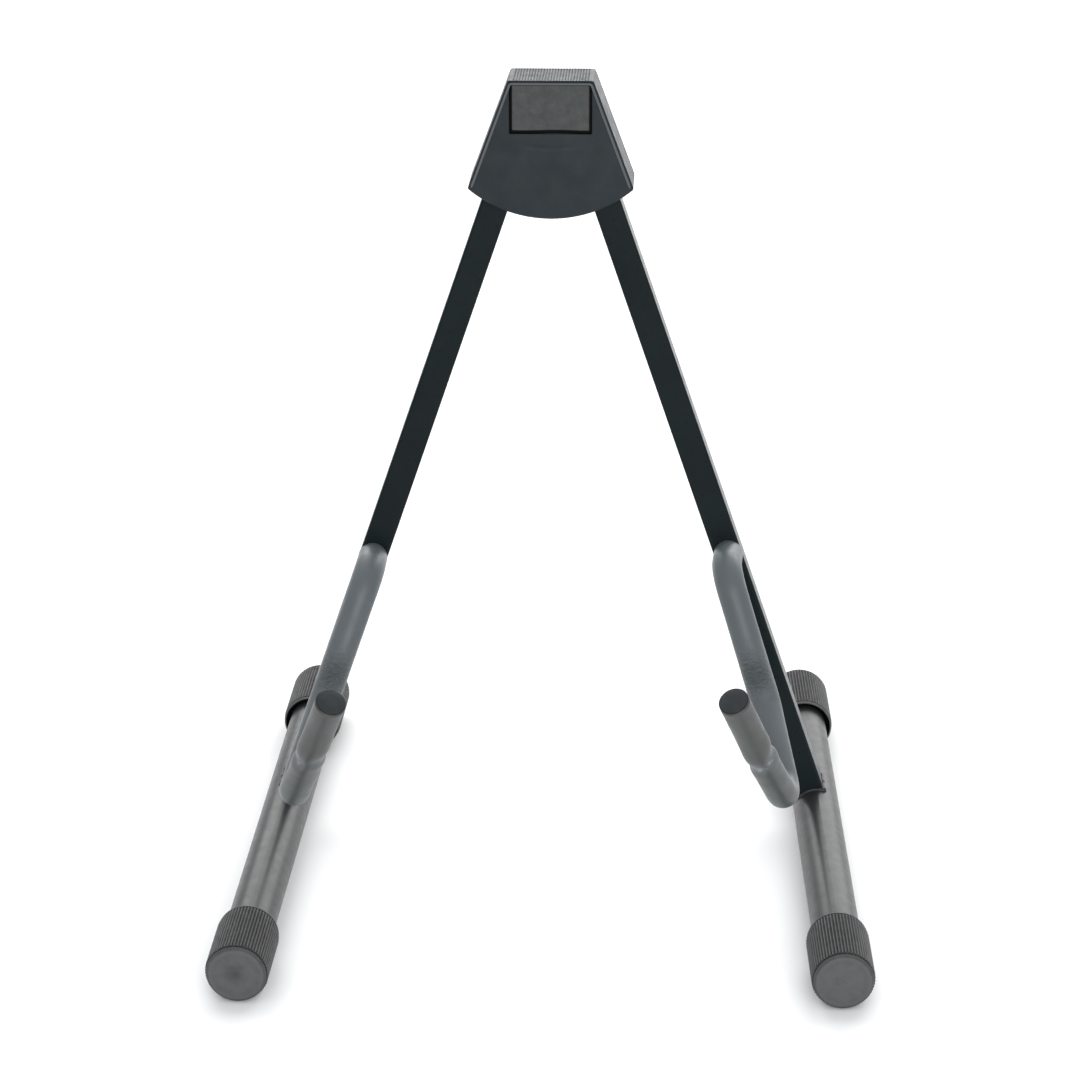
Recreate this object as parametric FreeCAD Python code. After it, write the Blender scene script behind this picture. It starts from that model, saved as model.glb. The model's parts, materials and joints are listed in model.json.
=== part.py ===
import FreeCAD, Part
import os
from math import atan, cos, degrees, pi, radians, sin, tan

from FreeCAD import Placement, Rotation, Vector

# Folding A-frame floor stand for a guitar. Millimetres, +Z up, front of the stand towards -Y.
# The origin is on the floor, at the middle of the footprint.
#
# Three frames are used:
#   world : as above.
#   head  : X across, Y towards the back, Z up the leaning plane of the legs. Its origin is
#           halfway between the two joints of leg and foot tube.
#   leg   : X away from the stand's middle, Y towards the back, Z up the leg. Its origin is on
#           the foot tube's axis. It describes the right leg, and the left one is its mirror.

# --- driving dimensions: pose of the open stand ---
LEAN = 8.0                  # degrees, plane of the legs leans back
SPLAY = 19.0                # degrees, each leg away from the middle line, in that plane
FOOT_HALF_SPAN = 145.0      # middle line to the joint of leg and foot tube
FRONT_REACH = 200.0         # joint to the end of the front cap
REAR_REACH = 141.0          # joint to the end of the rear cap

# --- foot tubes and caps ---
TUBE_R = 12.5
TUBE_WALL = 1.5
CAP_R = 16.3
CAP_LENGTH = 46.0
CAP_END = 3.5               # thickness of the closed end
CAP_CHAMFER = 1.6
CAP_RIBS = 60
CAP_RIB_DEPTH = 0.55
CAP_CREST_SHARE = 0.56      # of the ribs' pitch, the rest is the groove
CAP_LEAD = 0.6              # bevels where the ribs start and end
CAP_RUN_OUT = 1.2
CAP_MOUTH_R = 14.7
CAP_MOUTH_DEPTH = 6.0
CAP_DIMPLE_R = 22.0
CAP_DIMPLE_DEPTH = 0.7

# --- legs, rectangular tube ---
LEG_WIDTH = 15.0
LEG_DEPTH = 20.0
LEG_WALL = 1.5
LEG_CORNER_R = 1.6
LEG_INNER_CORNER_R = 0.6
LEG_ABOVE_PIVOT = 11.0

# --- head ---
HEAD_TOP = 402.0            # head frame heights
HEAD_CORNER = 344.7
HEAD_ARC_LOW = 328.7
HEAD_TOP_WIDTH = 45.0
HEAD_CORNER_WIDTH = 87.7
HEAD_FRONT = -17.0          # head frame Y
HEAD_REAR = 25.5
HEAD_SPLIT = 4.0
HEAD_WALL = 2.4
HEAD_FACE = 3.2
HEAD_BACK = 2.5
HEAD_EDGE_R = 1.5
HEAD_CHAMFER = 0.9
RIB_PITCH = 1.5
RIB_DEPTH = 0.5
RIB_HALF_WIDTH = 0.5
RIB_MARGIN = 1.4            # plain bead at the front and rear edge of the ribbed band
JOINT_GAP = 0.1             # between the two covers
TONGUE_REACH = 2.2          # of the rear cover's rim into the front cover
TONGUE_THICK = 1.0
TONGUE_ROOT = 2.0

# --- pad in the face of the head ---
PAD_WIDTH = 41.7
PAD_HEIGHT = 25.2
PAD_FROM_TOP = 1.9
PAD_THICK = 2.6
PAD_RECESS = 1.4
PAD_GAP = 1.0
PAD_CORNER_R = 0.8
PAD_EDGE_R = 0.5

# --- pivots ---
PIVOT_HALF_SPAN = 17.0
BOLT_R = 3.0
BUSH_R = 4.5
BUSH_FLANGE_R = 7.2
BUSH_FLANGE = 0.8
RUNNING_CLEARANCE = 0.05
FACE_GAP = 0.3              # between a bush's flange and what faces it
NUT_FLATS = 10.0
NUT_THICK = 3.0
NUT_GAP = 0.25              # in front of the bush
NUT_POCKET_WALL = 1.8
WASHER_R = 6.6
WASHER_THICK = 1.0
BOLT_HEAD_R = 5.4
BOLT_HEAD_HEIGHT = 3.2
BOLT_SOCKET_R = 2.3
SOCKET_FLOOR_SHARE = 0.4    # of a domed head's height

# --- stops: what the legs rest on, open and folded ---
STOP_GAP = 0.25
BOSS_R = 3.2
STOP_BOSS_HEIGHT = 349.0
FOLD_BLOCK_LOW = 334.0
FOLD_BLOCK_HIGH = 352.0
FOLD_BLOCK_WALL = 2.0
TOP_BOSS_HEIGHT = 397.0

# --- screws that close the head ---
SCREW_R = 1.4
SCREW_HEAD_R = 2.8
SCREW_HEAD_HEIGHT = 1.9
SCREW_SOCKET_R = 1.15
SCREW_SEAT_DEPTH = 1.5
SCREW_LENGTH = 29.0
SCREW_CLEARANCE = 0.2
SCREW_HOLE_FLOOR = 4.0      # of the blind hole, behind the face

# --- gear sectors that make the legs move together ---
SECTOR_THICK = 3.0
SECTOR_HUB_R = 11.0
SECTOR_TEETH = 24           # on a full circle
SECTOR_TAIL = 30.0          # below the pivot
SECTOR_TAIL_WIDTH = 12.0
SECTOR_EAR_WIDTH = 8.0
TOOTH_BACKLASH = 0.5
TOOTH_ROOT = 1.8
TOOTH_TIP = 1.25
TOOTH_OVERLAP = 1.0         # of the tooth's foot with the fan
FAN_PITCHES = (-1.6, 0.5, 2.6)
RIVET_R = 1.9
RIVET_HEAD_R = 3.4
RIVET_HEAD = 1.2
RIVET_DROPS = (14.0, 25.0)  # below the pivot

# --- spring that pulls the legs open ---
POST_RISE = 16.0            # above the pivot, up the leg
POST_R = 1.9
POST_LENGTH = 7.5
POST_COLLAR = 1.0
POST_HEAD_OVERHANG = 1.1
SPRING_Y = 17.0
SPRING_R = 2.55             # middle of the wire
SPRING_WIRE_R = 0.42
SPRING_TURNS = 14
SPRING_PITCH = 0.95
SPRING_EYE_GAP = 0.1
SPRING_LINK_ANGLE = 65.0    # degrees, where the coil's end meets the eye

# --- support arms ---
ROD_R = 4.5
ROD_HOLE_GAP = 0.3
ROD_END_GAP = 0.3
SLEEVE_R = 7.9
SLEEVE_BORE_R = 4.6
# The arms were bent and welded by hand, so the two differ a little.
ARM_HEIGHT = {"left": 149.4, "right": 152.7}    # up the leg, where the arm leaves it
ARM_CANT = {"left": 0.4, "right": 2.6}          # degrees, turned towards the other arm
ARM_TILT = {"left": 0.9, "right": 0.3}          # degrees, low end turned away from the other arm
# Corners of the arm: forward of the leg's front face, and above or below ARM_HEIGHT.
ARM_OUT = (30.0, 0.0)
SEAT_REAR = (56.0, -68.0)
SEAT_LOW = (106.5, -109.5)
TIP_BEND = (136.0, -77.0)
ARM_TIP = {"left": (167.6, -31.2), "right": (169.4, -28.8)}
BEND_RADII = (20.0, 26.0, 18.0, 16.0)
PLUG_R = 7.4
PLUG_RIM = 1.2
PLUG_DOME = 1.1
PLUG_STEM = 9.0

# --- worked out from the above ---
LEAN_RAD = radians(LEAN)
SPLAY_RAD = radians(SPLAY)
TOE_OUT = atan(sin(LEAN_RAD) * tan(SPLAY_RAD))     # foot tubes come out parallel when folded
PIVOT_UP_LEG = (FOOT_HALF_SPAN - PIVOT_HALF_SPAN) / sin(SPLAY_RAD)
PIVOT_HEIGHT = PIVOT_UP_LEG * cos(SPLAY_RAD)
HALF_DEPTH = LEG_DEPTH / 2
FOOT_Y = (FRONT_REACH - REAR_REACH) / 2 * cos(TOE_OUT)
SIDE_SLOPE = (HEAD_CORNER_WIDTH - HEAD_TOP_WIDTH) / 2 / (HEAD_TOP - HEAD_CORNER)
SIDE_ANGLE = atan(SIDE_SLOPE)
BACK_FACE_OF_SECTOR = HALF_DEPTH + SECTOR_THICK
PITCH_R = PIVOT_HALF_SPAN
TOOTH_ROOT_R = PITCH_R - TOOTH_ROOT
TOOTH_TIP_R = PITCH_R + TOOTH_TIP

HEAD_FRAME = Placement(Vector(0, FOOT_Y, CAP_R), Rotation(Vector(1, 0, 0), -LEAN))
LEG_FRAME = HEAD_FRAME * Placement(
    Vector(FOOT_HALF_SPAN, 0, 0), Rotation(Vector(0, 1, 0), -SPLAY))
FOOT_FRAME = Placement(
    Vector(FOOT_HALF_SPAN, FOOT_Y, CAP_R), Rotation(Vector(0, 0, 1), degrees(TOE_OUT)))

X_AXIS = Vector(1, 0, 0)
Y_AXIS = Vector(0, 1, 0)
Z_AXIS = Vector(0, 0, 1)


# --- helpers ---
def placed(shape, frame):
    """A copy of the shape, moved from a local frame to the world."""
    moved = shape.copy()
    moved.Placement = frame * shape.Placement
    return moved


def mirrored(shape, side):
    """The shape itself on the right, its mirror image on the left."""
    if side == "right":
        return shape
    return shape.mirror(Vector(0, 0, 0), X_AXIS)


def write(name, *solids):
    shape = solids[0] if len(solids) == 1 else Part.makeCompound(list(solids))
    shape.exportStep("parts/" + name + ".step")


def y_cylinder(radius, x, z, y_from, y_to):
    """A cylinder along Y between two depths."""
    return Part.makeCylinder(radius, y_to - y_from, Vector(x, y_from, z), Y_AXIS)


def y_prism(points, y_from, y_to):
    """A straight-sided prism along Y from (x, z) corners."""
    corners = [Vector(x, y_from, z) for x, z in points]
    face = Part.Face(Part.makePolygon(corners + corners[:1]))
    return face.extrude(Vector(0, y_to - y_from, 0))


def rounded_bar(width, depth, radius, length):
    """A bar up Z with a rounded rectangular section centred on the axis."""
    bar = Part.makeBox(width, depth, length, Vector(-width / 2, -depth / 2, 0))
    upright = [e for e in bar.Edges if abs(e.Length - length) < 1e-6]
    return bar.makeFillet(radius, upright)


def revolved(profile):
    """A solid of revolution about Z from (radius, z) corners."""
    corners = [Vector(r, 0, z) for r, z in profile]
    face = Part.Face(Part.makePolygon(corners + corners[:1]))
    return face.revolve(Vector(0, 0, 0), Z_AXIS, 360)


# --- foot tubes and their caps ---
def foot_tube():
    """Round tube that lies on the floor's level, along Y in the foot frame."""
    front = -FRONT_REACH + CAP_END
    rear = REAR_REACH - CAP_END
    outer = y_cylinder(TUBE_R, 0, 0, front, rear)
    return outer.cut(y_cylinder(TUBE_R - TUBE_WALL, 0, 0, front, rear))


def ribbed_bar(length):
    """A round bar up Z with lengthwise ribs: arcs on the crests, V grooves between them."""
    pitch = 2 * pi / CAP_RIBS
    crest = CAP_CREST_SHARE * pitch
    edges = []

    def at(radius, angle):
        return Vector(radius * cos(angle), radius * sin(angle), 0)

    for rib in range(CAP_RIBS):
        start = rib * pitch
        valley = at(CAP_R - CAP_RIB_DEPTH, start + (crest + pitch) / 2)
        crest_end = at(CAP_R, start + crest)
        arc = Part.Arc(at(CAP_R, start), at(CAP_R, start + crest / 2), crest_end)
        edges.append(arc.toShape())
        edges.append(Part.makeLine(crest_end, valley))
        edges.append(Part.makeLine(valley, at(CAP_R, start + pitch)))
    return Part.Face(Part.Wire(edges)).extrude(Vector(0, 0, length))


def end_cap():
    """Rubber cap up Z: mouth at 0, closed end at CAP_LENGTH."""
    plain_r = CAP_R - CAP_RIB_DEPTH
    chamfer_z = CAP_LENGTH - CAP_CHAMFER
    envelope = revolved([
        (0, 0), (plain_r, 0), (CAP_R, CAP_LEAD), (CAP_R, chamfer_z - CAP_RUN_OUT),
        (plain_r, chamfer_z), (CAP_R - CAP_CHAMFER, CAP_LENGTH), (0, CAP_LENGTH)])
    cap = ribbed_bar(CAP_LENGTH).common(envelope)
    bore = Part.makeCylinder(TUBE_R + RUNNING_CLEARANCE, CAP_LENGTH - CAP_END + RUNNING_CLEARANCE)
    mouth = Part.makeCylinder(CAP_MOUTH_R, CAP_MOUTH_DEPTH)
    dimple_middle = Vector(0, 0, CAP_LENGTH + CAP_DIMPLE_R - CAP_DIMPLE_DEPTH)
    dimple = Part.makeSphere(CAP_DIMPLE_R, dimple_middle)
    return cap.cut(bore).cut(mouth).cut(dimple)


def front_cap():
    facing = Placement(Vector(0, -FRONT_REACH + CAP_LENGTH, 0), Rotation(X_AXIS, 90))
    return placed(end_cap(), facing)


def rear_cap():
    facing = Placement(Vector(0, REAR_REACH - CAP_LENGTH, 0), Rotation(X_AXIS, -90))
    return placed(end_cap(), facing)


# --- legs ---
def leg_tube(side):
    """Rectangular tube, coped on to the foot tube, in the world frame."""
    length = PIVOT_UP_LEG + LEG_ABOVE_PIVOT
    inside = (LEG_WIDTH - 2 * LEG_WALL, LEG_DEPTH - 2 * LEG_WALL)
    tube = rounded_bar(LEG_WIDTH, LEG_DEPTH, LEG_CORNER_R, length)
    tube = tube.cut(rounded_bar(*inside, LEG_INNER_CORNER_R, length))
    tube = tube.cut(y_cylinder(
        BUSH_R + RUNNING_CLEARANCE, 0, PIVOT_UP_LEG, -LEG_DEPTH, LEG_DEPTH))
    tube = tube.cut(y_cylinder(ROD_R + ROD_HOLE_GAP, 0, ARM_HEIGHT[side], -LEG_DEPTH, 0))
    for drop in RIVET_DROPS:
        tube = tube.cut(y_cylinder(RIVET_R, 0, PIVOT_UP_LEG - drop, 0, LEG_DEPTH))
    foot = y_cylinder(TUBE_R, 0, 0, -FRONT_REACH, REAR_REACH)
    return placed(tube, LEG_FRAME).cut(placed(foot, FOOT_FRAME))


def leg_bushes():
    """Two flanged nylon bushes, pressed into the leg's front and rear wall."""
    front_face = -HALF_DEPTH
    inner_end = HALF_DEPTH - LEG_WALL - 0.6
    front = y_cylinder(BUSH_R, 0, PIVOT_UP_LEG, front_face, -inner_end)
    front = front.fuse(
        y_cylinder(BUSH_FLANGE_R, 0, PIVOT_UP_LEG, front_face - BUSH_FLANGE, front_face))
    rear = y_cylinder(BUSH_R, 0, PIVOT_UP_LEG, inner_end, BACK_FACE_OF_SECTOR)
    rear = rear.fuse(y_cylinder(
        BUSH_FLANGE_R, 0, PIVOT_UP_LEG, BACK_FACE_OF_SECTOR, BACK_FACE_OF_SECTOR + BUSH_FLANGE))
    bore = y_cylinder(
        BOLT_R + RUNNING_CLEARANCE, 0, PIVOT_UP_LEG, -LEG_DEPTH, LEG_DEPTH)
    return [front.cut(bore), rear.cut(bore)]


# --- support arms: built about the point where the arm leaves the leg's front face ---
def arm_point(out, up):
    """A point of the arm's centre line."""
    return Vector(0, -out, up)


def bent_line(corners, radii):
    """A wire of straight runs joined by tangent arcs at the inner corners."""
    edges = []
    start = corners[0]
    for index, radius in enumerate(radii):
        corner = corners[index + 1]
        back = (corners[index] - corner).normalize()
        onward = (corners[index + 2] - corner).normalize()
        half_turn = (pi - back.getAngle(onward)) / 2
        run_in = corner + back * radius * tan(half_turn)
        run_out = corner + onward * radius * tan(half_turn)
        centre = corner + (back + onward).normalize() * (radius / cos(half_turn))
        middle = centre + (corner - centre).normalize() * radius
        edges.append(Part.makeLine(start, run_in))
        edges.append(Part.Arc(run_in, middle, run_out).toShape())
        start = run_out
    edges.append(Part.makeLine(start, corners[-1]))
    return Part.Wire(edges)


def round_sweep(path, radius):
    """A round bar along a wire."""
    start = path.OrderedEdges[0]
    point = start.valueAt(start.FirstParameter)
    heading = start.tangentAt(start.FirstParameter)
    section = Part.Wire(Part.makeCircle(radius, point, heading))
    return path.makePipeShell([section], True, False)


def tip_heading(side):
    """Direction of the arm's last straight run."""
    return (arm_point(*ARM_TIP[side]) - arm_point(*TIP_BEND)).normalize()


def arm_path(side, start_out, shorter):
    """Centre line of the arm, from behind the leg's face to short of its tip."""
    end = arm_point(*ARM_TIP[side]) - tip_heading(side) * shorter
    bends = [arm_point(*corner) for corner in (ARM_OUT, SEAT_REAR, SEAT_LOW, TIP_BEND)]
    return bent_line([arm_point(start_out, 0)] + bends + [end], BEND_RADII)


def welded_on(shape, side):
    """A piece of the arm, turned and lifted to its place in the leg frame."""
    turned = shape.copy()
    turned.rotate(Vector(0, 0, 0), Y_AXIS, -ARM_TILT[side])
    turned.rotate(Vector(0, 0, 0), Z_AXIS, -ARM_CANT[side])
    turned.translate(Vector(0, -HALF_DEPTH, ARM_HEIGHT[side]))
    return turned


def support_rod(side):
    """Bent steel rod, welded into the leg: its rear end meets the leg's rear wall."""
    rear_wall = -LEG_DEPTH + LEG_WALL + ROD_END_GAP
    return welded_on(round_sweep(arm_path(side, rear_wall, PLUG_STEM + ROD_END_GAP), ROD_R), side)


def support_sleeve(side):
    """Soft tube over the rod, cut flush at the leg's front face."""
    behind_face = -2.0
    outer = round_sweep(arm_path(side, behind_face, 0), SLEEVE_R)
    bore = round_sweep(arm_path(side, 2 * behind_face, behind_face), SLEEVE_BORE_R)
    sleeve = welded_on(outer.cut(bore), side)
    size = 4 * SLEEVE_R
    behind = Part.makeBox(size, LEG_DEPTH, size, Vector(
        -size / 2, -HALF_DEPTH - RUNNING_CLEARANCE, ARM_HEIGHT[side] - size / 2))
    return sleeve.cut(behind)


def tip_plug(side):
    """Plug that closes the sleeve's end, with a low dome and a stem in the bore."""
    stem_r = SLEEVE_BORE_R - RUNNING_CLEARANCE
    dome_r = (PLUG_R ** 2 + PLUG_DOME ** 2) / (2 * PLUG_DOME)
    dome = Part.makeSphere(dome_r, Vector(0, 0, PLUG_RIM + PLUG_DOME - dome_r))
    disc = Part.makeCylinder(PLUG_R, PLUG_RIM + PLUG_DOME)
    plug = disc.common(dome).fuse(Part.makeCylinder(stem_r, PLUG_STEM, Vector(0, 0, -PLUG_STEM)))
    seat = Placement(arm_point(*ARM_TIP[side]), Rotation(Z_AXIS, tip_heading(side)))
    return welded_on(placed(plug, seat), side)


# --- gear sectors: about their own pivot, in the head frame, right side ---
def sector_tooth(angle):
    """One tooth of the right sector, on the ray at the given angle below -X."""
    half_pitch = pi * PITCH_R / SECTOR_TEETH / 2 - TOOTH_BACKLASH / 2
    half_root = half_pitch + TOOTH_ROOT * tan(radians(20))
    half_tip = half_pitch - TOOTH_TIP * tan(radians(26))
    inner_r = TOOTH_ROOT_R - TOOTH_OVERLAP
    tooth = y_prism(
        [(-inner_r, -half_root), (-TOOTH_ROOT_R, -half_root), (-TOOTH_TIP_R, -half_tip),
         (-TOOTH_TIP_R, half_tip), (-TOOTH_ROOT_R, half_root), (-inner_r, half_root)],
        HALF_DEPTH, BACK_FACE_OF_SECTOR)
    tooth.rotate(Vector(0, 0, 0), Y_AXIS, -angle)
    return tooth


def gear_sector(phase):
    """Plate on the leg's rear face: teeth towards the other leg, ear for the spring post above."""
    pitch_angle = 360 / SECTOR_TEETH
    y_from, y_to = HALF_DEPTH, BACK_FACE_OF_SECTOR
    rays = [(0, 0)]
    for tooth_pitches in FAN_PITCHES:
        angle = radians(pitch_angle * (tooth_pitches + phase))
        rays.append((-2 * TOOTH_ROOT_R * cos(angle), -2 * TOOTH_ROOT_R * sin(angle)))
    fan = y_cylinder(TOOTH_ROOT_R, 0, 0, y_from, y_to).common(y_prism(rays, y_from, y_to))
    tail_half = SECTOR_TAIL_WIDTH / 2
    ear_half = SECTOR_EAR_WIDTH / 2
    arms = [
        Part.makeBox(SECTOR_TAIL_WIDTH, SECTOR_THICK, SECTOR_TAIL - tail_half,
                     Vector(-tail_half, y_from, tail_half - SECTOR_TAIL)),
        y_cylinder(tail_half, 0, tail_half - SECTOR_TAIL, y_from, y_to),
        Part.makeBox(SECTOR_EAR_WIDTH, SECTOR_THICK, POST_RISE, Vector(-ear_half, y_from, 0)),
        y_cylinder(ear_half, 0, POST_RISE, y_from, y_to)]
    plate = y_cylinder(SECTOR_HUB_R, 0, 0, y_from, y_to).fuse(fan)
    for arm in arms:
        arm.rotate(Vector(0, 0, 0), Y_AXIS, -SPLAY)
        plate = plate.fuse(arm)
    for tooth in range(-1, 3):
        plate = plate.fuse(sector_tooth(pitch_angle * (tooth + phase)))
    return plate.removeSplitter()


def drilled_sector(phase):
    """The sector with its holes, in the world frame."""
    along_leg = Placement(Vector(0, 0, 0), Rotation(Y_AXIS, -SPLAY))
    holes = [y_cylinder(BUSH_R + RUNNING_CLEARANCE, 0, 0, 0, LEG_DEPTH)]
    holes.append(y_cylinder(POST_R, 0, POST_RISE, 0, LEG_DEPTH))
    for drop in RIVET_DROPS:
        holes.append(y_cylinder(RIVET_R, 0, -drop, 0, LEG_DEPTH))
    plate = gear_sector(phase)
    for hole in holes:
        plate = plate.cut(placed(hole, along_leg))
    pivot = HEAD_FRAME * Placement(Vector(PIVOT_HALF_SPAN, 0, PIVOT_HEIGHT), Rotation())
    return placed(plate, pivot)


def sector_rivets():
    """Rivets through the sector and the leg's rear wall, headed on both sides."""
    inner_face = HALF_DEPTH - LEG_WALL
    rivets = []
    for drop in RIVET_DROPS:
        z = PIVOT_UP_LEG - drop
        rivet = y_cylinder(RIVET_R, 0, z, inner_face - RIVET_HEAD, BACK_FACE_OF_SECTOR)
        rivet = rivet.fuse(y_cylinder(RIVET_HEAD_R, 0, z, inner_face - RIVET_HEAD, inner_face))
        outer_head = y_cylinder(
            RIVET_HEAD_R, 0, z, BACK_FACE_OF_SECTOR, BACK_FACE_OF_SECTOR + RIVET_HEAD)
        rivets.append(rivet.fuse(outer_head))
    return rivets


def spring_post():
    """Shouldered rivet in the sector's ear that holds one eye of the spring."""
    z = PIVOT_UP_LEG + POST_RISE
    foot = y_cylinder(RIVET_HEAD_R, 0, z, HALF_DEPTH - RIVET_HEAD, HALF_DEPTH)
    collar = y_cylinder(RIVET_HEAD_R, 0, z, BACK_FACE_OF_SECTOR, BACK_FACE_OF_SECTOR + POST_COLLAR)
    end = BACK_FACE_OF_SECTOR + POST_LENGTH
    shank = y_cylinder(POST_R, 0, z, HALF_DEPTH - RIVET_HEAD, end)
    head = y_cylinder(POST_R + POST_HEAD_OVERHANG, 0, z, end, end + RIVET_HEAD)
    return foot.fuse(shank).fuse(collar).fuse(head)


# --- head ---
def side_line(height, inset):
    """Half width of the head at a height, drawn in from its sloping side."""
    half = HEAD_TOP_WIDTH / 2 + (HEAD_TOP - height) * SIDE_SLOPE
    return half - inset / cos(SIDE_ANGLE)


def head_block():
    """The head's outer form: a block with sloping sides and an arched lower end."""
    corner = HEAD_CORNER_WIDTH / 2
    top = HEAD_TOP_WIDTH / 2
    points = [Vector(x, HEAD_FRONT, z) for x, z in (
        (corner, HEAD_CORNER), (top, HEAD_TOP), (-top, HEAD_TOP), (-corner, HEAD_CORNER))]
    edges = [Part.makeLine(a, b) for a, b in zip(points, points[1:])]
    edges.append(Part.Arc(points[3], Vector(0, HEAD_FRONT, HEAD_ARC_LOW), points[0]).toShape())
    depth = HEAD_REAR - HEAD_FRONT
    block = Part.Face(Part.Wire(edges)).extrude(Vector(0, depth, 0))
    upright = [e for e in block.Edges
               if abs(e.Length - depth) < 1e-6 and len(e.Vertexes) == 2
               and abs(e.Vertexes[0].Y - e.Vertexes[1].Y) > 1]
    block = block.makeFillet(HEAD_EDGE_R, upright)
    rims = [e for e in block.Edges
            if all(abs(v.Y - HEAD_FRONT) < 1e-6 for v in e.Vertexes)
            or all(abs(v.Y - HEAD_REAR) < 1e-6 for v in e.Vertexes)]
    return block.makeChamfer(HEAD_CHAMFER, rims)


def band_grooves():
    """V grooves from front to rear across the top and both sides of the head."""
    half = RIB_HALF_WIDTH
    y_from = HEAD_FRONT + RIB_MARGIN
    y_to = HEAD_REAR - RIB_MARGIN
    v_shape = [(-half, 0.2), (-half, 0), (0, -RIB_DEPTH), (half, 0), (half, 0.2)]
    groove = y_prism(v_shape, y_from, y_to)
    grooves = []
    top_count = int((HEAD_TOP_WIDTH / 2 - HEAD_EDGE_R - half) / RIB_PITCH)
    for step in range(-top_count, top_count + 1):
        grooves.append(placed(groove, Placement(Vector(step * RIB_PITCH, 0, HEAD_TOP), Rotation())))
    side_length = (HEAD_TOP - HEAD_CORNER) / cos(SIDE_ANGLE)
    side_count = int((side_length - 2 * HEAD_EDGE_R - 2 * half) / RIB_PITCH)
    first = (side_length - side_count * RIB_PITCH) / 2
    outward = 90 - degrees(SIDE_ANGLE)
    for step in range(side_count + 1):
        down = (first + step * RIB_PITCH) * cos(SIDE_ANGLE)
        height = HEAD_TOP - down
        for sign in (1, -1):
            spot = Vector(sign * side_line(height, 0), 0, height)
            grooves.append(placed(groove, Placement(spot, Rotation(Y_AXIS, sign * outward))))
    return Part.makeCompound(grooves)


def head_cavity(inset, y_from, y_to):
    """The hollow of the head, open below."""
    high = HEAD_TOP - inset
    low = HEAD_ARC_LOW - 20
    return y_prism(
        [(side_line(low, inset), low), (side_line(high, inset), high),
         (-side_line(high, inset), high), (-side_line(low, inset), low)], y_from, y_to)


def stop_boss_x():
    """Middle of the screw boss that the open leg rests against."""
    leg_middle = FOOT_HALF_SPAN - STOP_BOSS_HEIGHT * tan(SPLAY_RAD)
    return leg_middle + (LEG_WIDTH / 2 + STOP_GAP + BOSS_R) / cos(SPLAY_RAD)


def screw_spots():
    block_middle = (FOLD_BLOCK_LOW + FOLD_BLOCK_HIGH) / 2
    return [
        (stop_boss_x(), STOP_BOSS_HEIGHT), (-stop_boss_x(), STOP_BOSS_HEIGHT),
        (0, TOP_BOSS_HEIGHT), (0, block_middle)]


def fold_block():
    """Hollow block between the legs, which they rest against when folded."""
    half = PIVOT_HALF_SPAN - LEG_WIDTH / 2 - STOP_GAP - RUNNING_CLEARANCE
    height = FOLD_BLOCK_HIGH - FOLD_BLOCK_LOW
    y_front = HEAD_FRONT + HEAD_FACE
    depth = HEAD_SPLIT - y_front
    wall = FOLD_BLOCK_WALL
    shell = Part.makeBox(2 * half, depth, height, Vector(-half, y_front, FOLD_BLOCK_LOW))
    hollow = Part.makeBox(2 * (half - wall), depth, height - 2 * wall,
                          Vector(wall - half, y_front, FOLD_BLOCK_LOW + wall))
    return shell.cut(hollow)


def head_half(block, y_from, y_to):
    """The part of the head's outer form between two depths."""
    slab = Part.makeBox(200, y_to - y_from, 200, Vector(-100, y_from, HEAD_ARC_LOW - 50))
    return block.common(slab)


def front_cover(block):
    inner_face = HEAD_FRONT + HEAD_FACE
    cover = head_half(block, HEAD_FRONT - 1, HEAD_SPLIT)
    cover = cover.cut(head_cavity(HEAD_WALL, inner_face, HEAD_SPLIT))
    pad_bottom = HEAD_TOP - PAD_FROM_TOP - PAD_HEIGHT
    recess = rounded_bar(
        PAD_WIDTH + 2 * PAD_GAP, 2 * PAD_RECESS, 0.1, PAD_HEIGHT + 2 * PAD_GAP)
    recess.translate(Vector(0, HEAD_FRONT, pad_bottom - PAD_GAP))
    bush_front = -HALF_DEPTH - BUSH_FLANGE
    pocket_r = (NUT_FLATS / 2 + JOINT_GAP) / cos(pi / 6)
    additions = [fold_block()]
    for x, z in screw_spots():
        additions.append(y_cylinder(BOSS_R, x, z, inner_face, HEAD_SPLIT))
    for sign in (1, -1):
        additions.append(y_cylinder(
            pocket_r + NUT_POCKET_WALL, sign * PIVOT_HALF_SPAN, PIVOT_HEIGHT,
            inner_face, bush_front - FACE_GAP))
    for piece in additions:
        cover = cover.fuse(piece)
    cover = cover.common(block).cut(recess)
    for x, z in screw_spots():
        cover = cover.cut(y_cylinder(
            SCREW_R, x, z, inner_face + SCREW_HOLE_FLOOR, HEAD_SPLIT + 1))
    for sign in (1, -1):
        pocket = nut_form(pocket_r, NUT_THICK + 2 * JOINT_GAP)
        pocket_y = bush_front - NUT_GAP - JOINT_GAP - NUT_THICK
        pocket.translate(Vector(sign * PIVOT_HALF_SPAN, pocket_y, PIVOT_HEIGHT))
        cover = cover.cut(pocket)
    return placed(cover.cut(band_grooves()), HEAD_FRAME)


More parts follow.
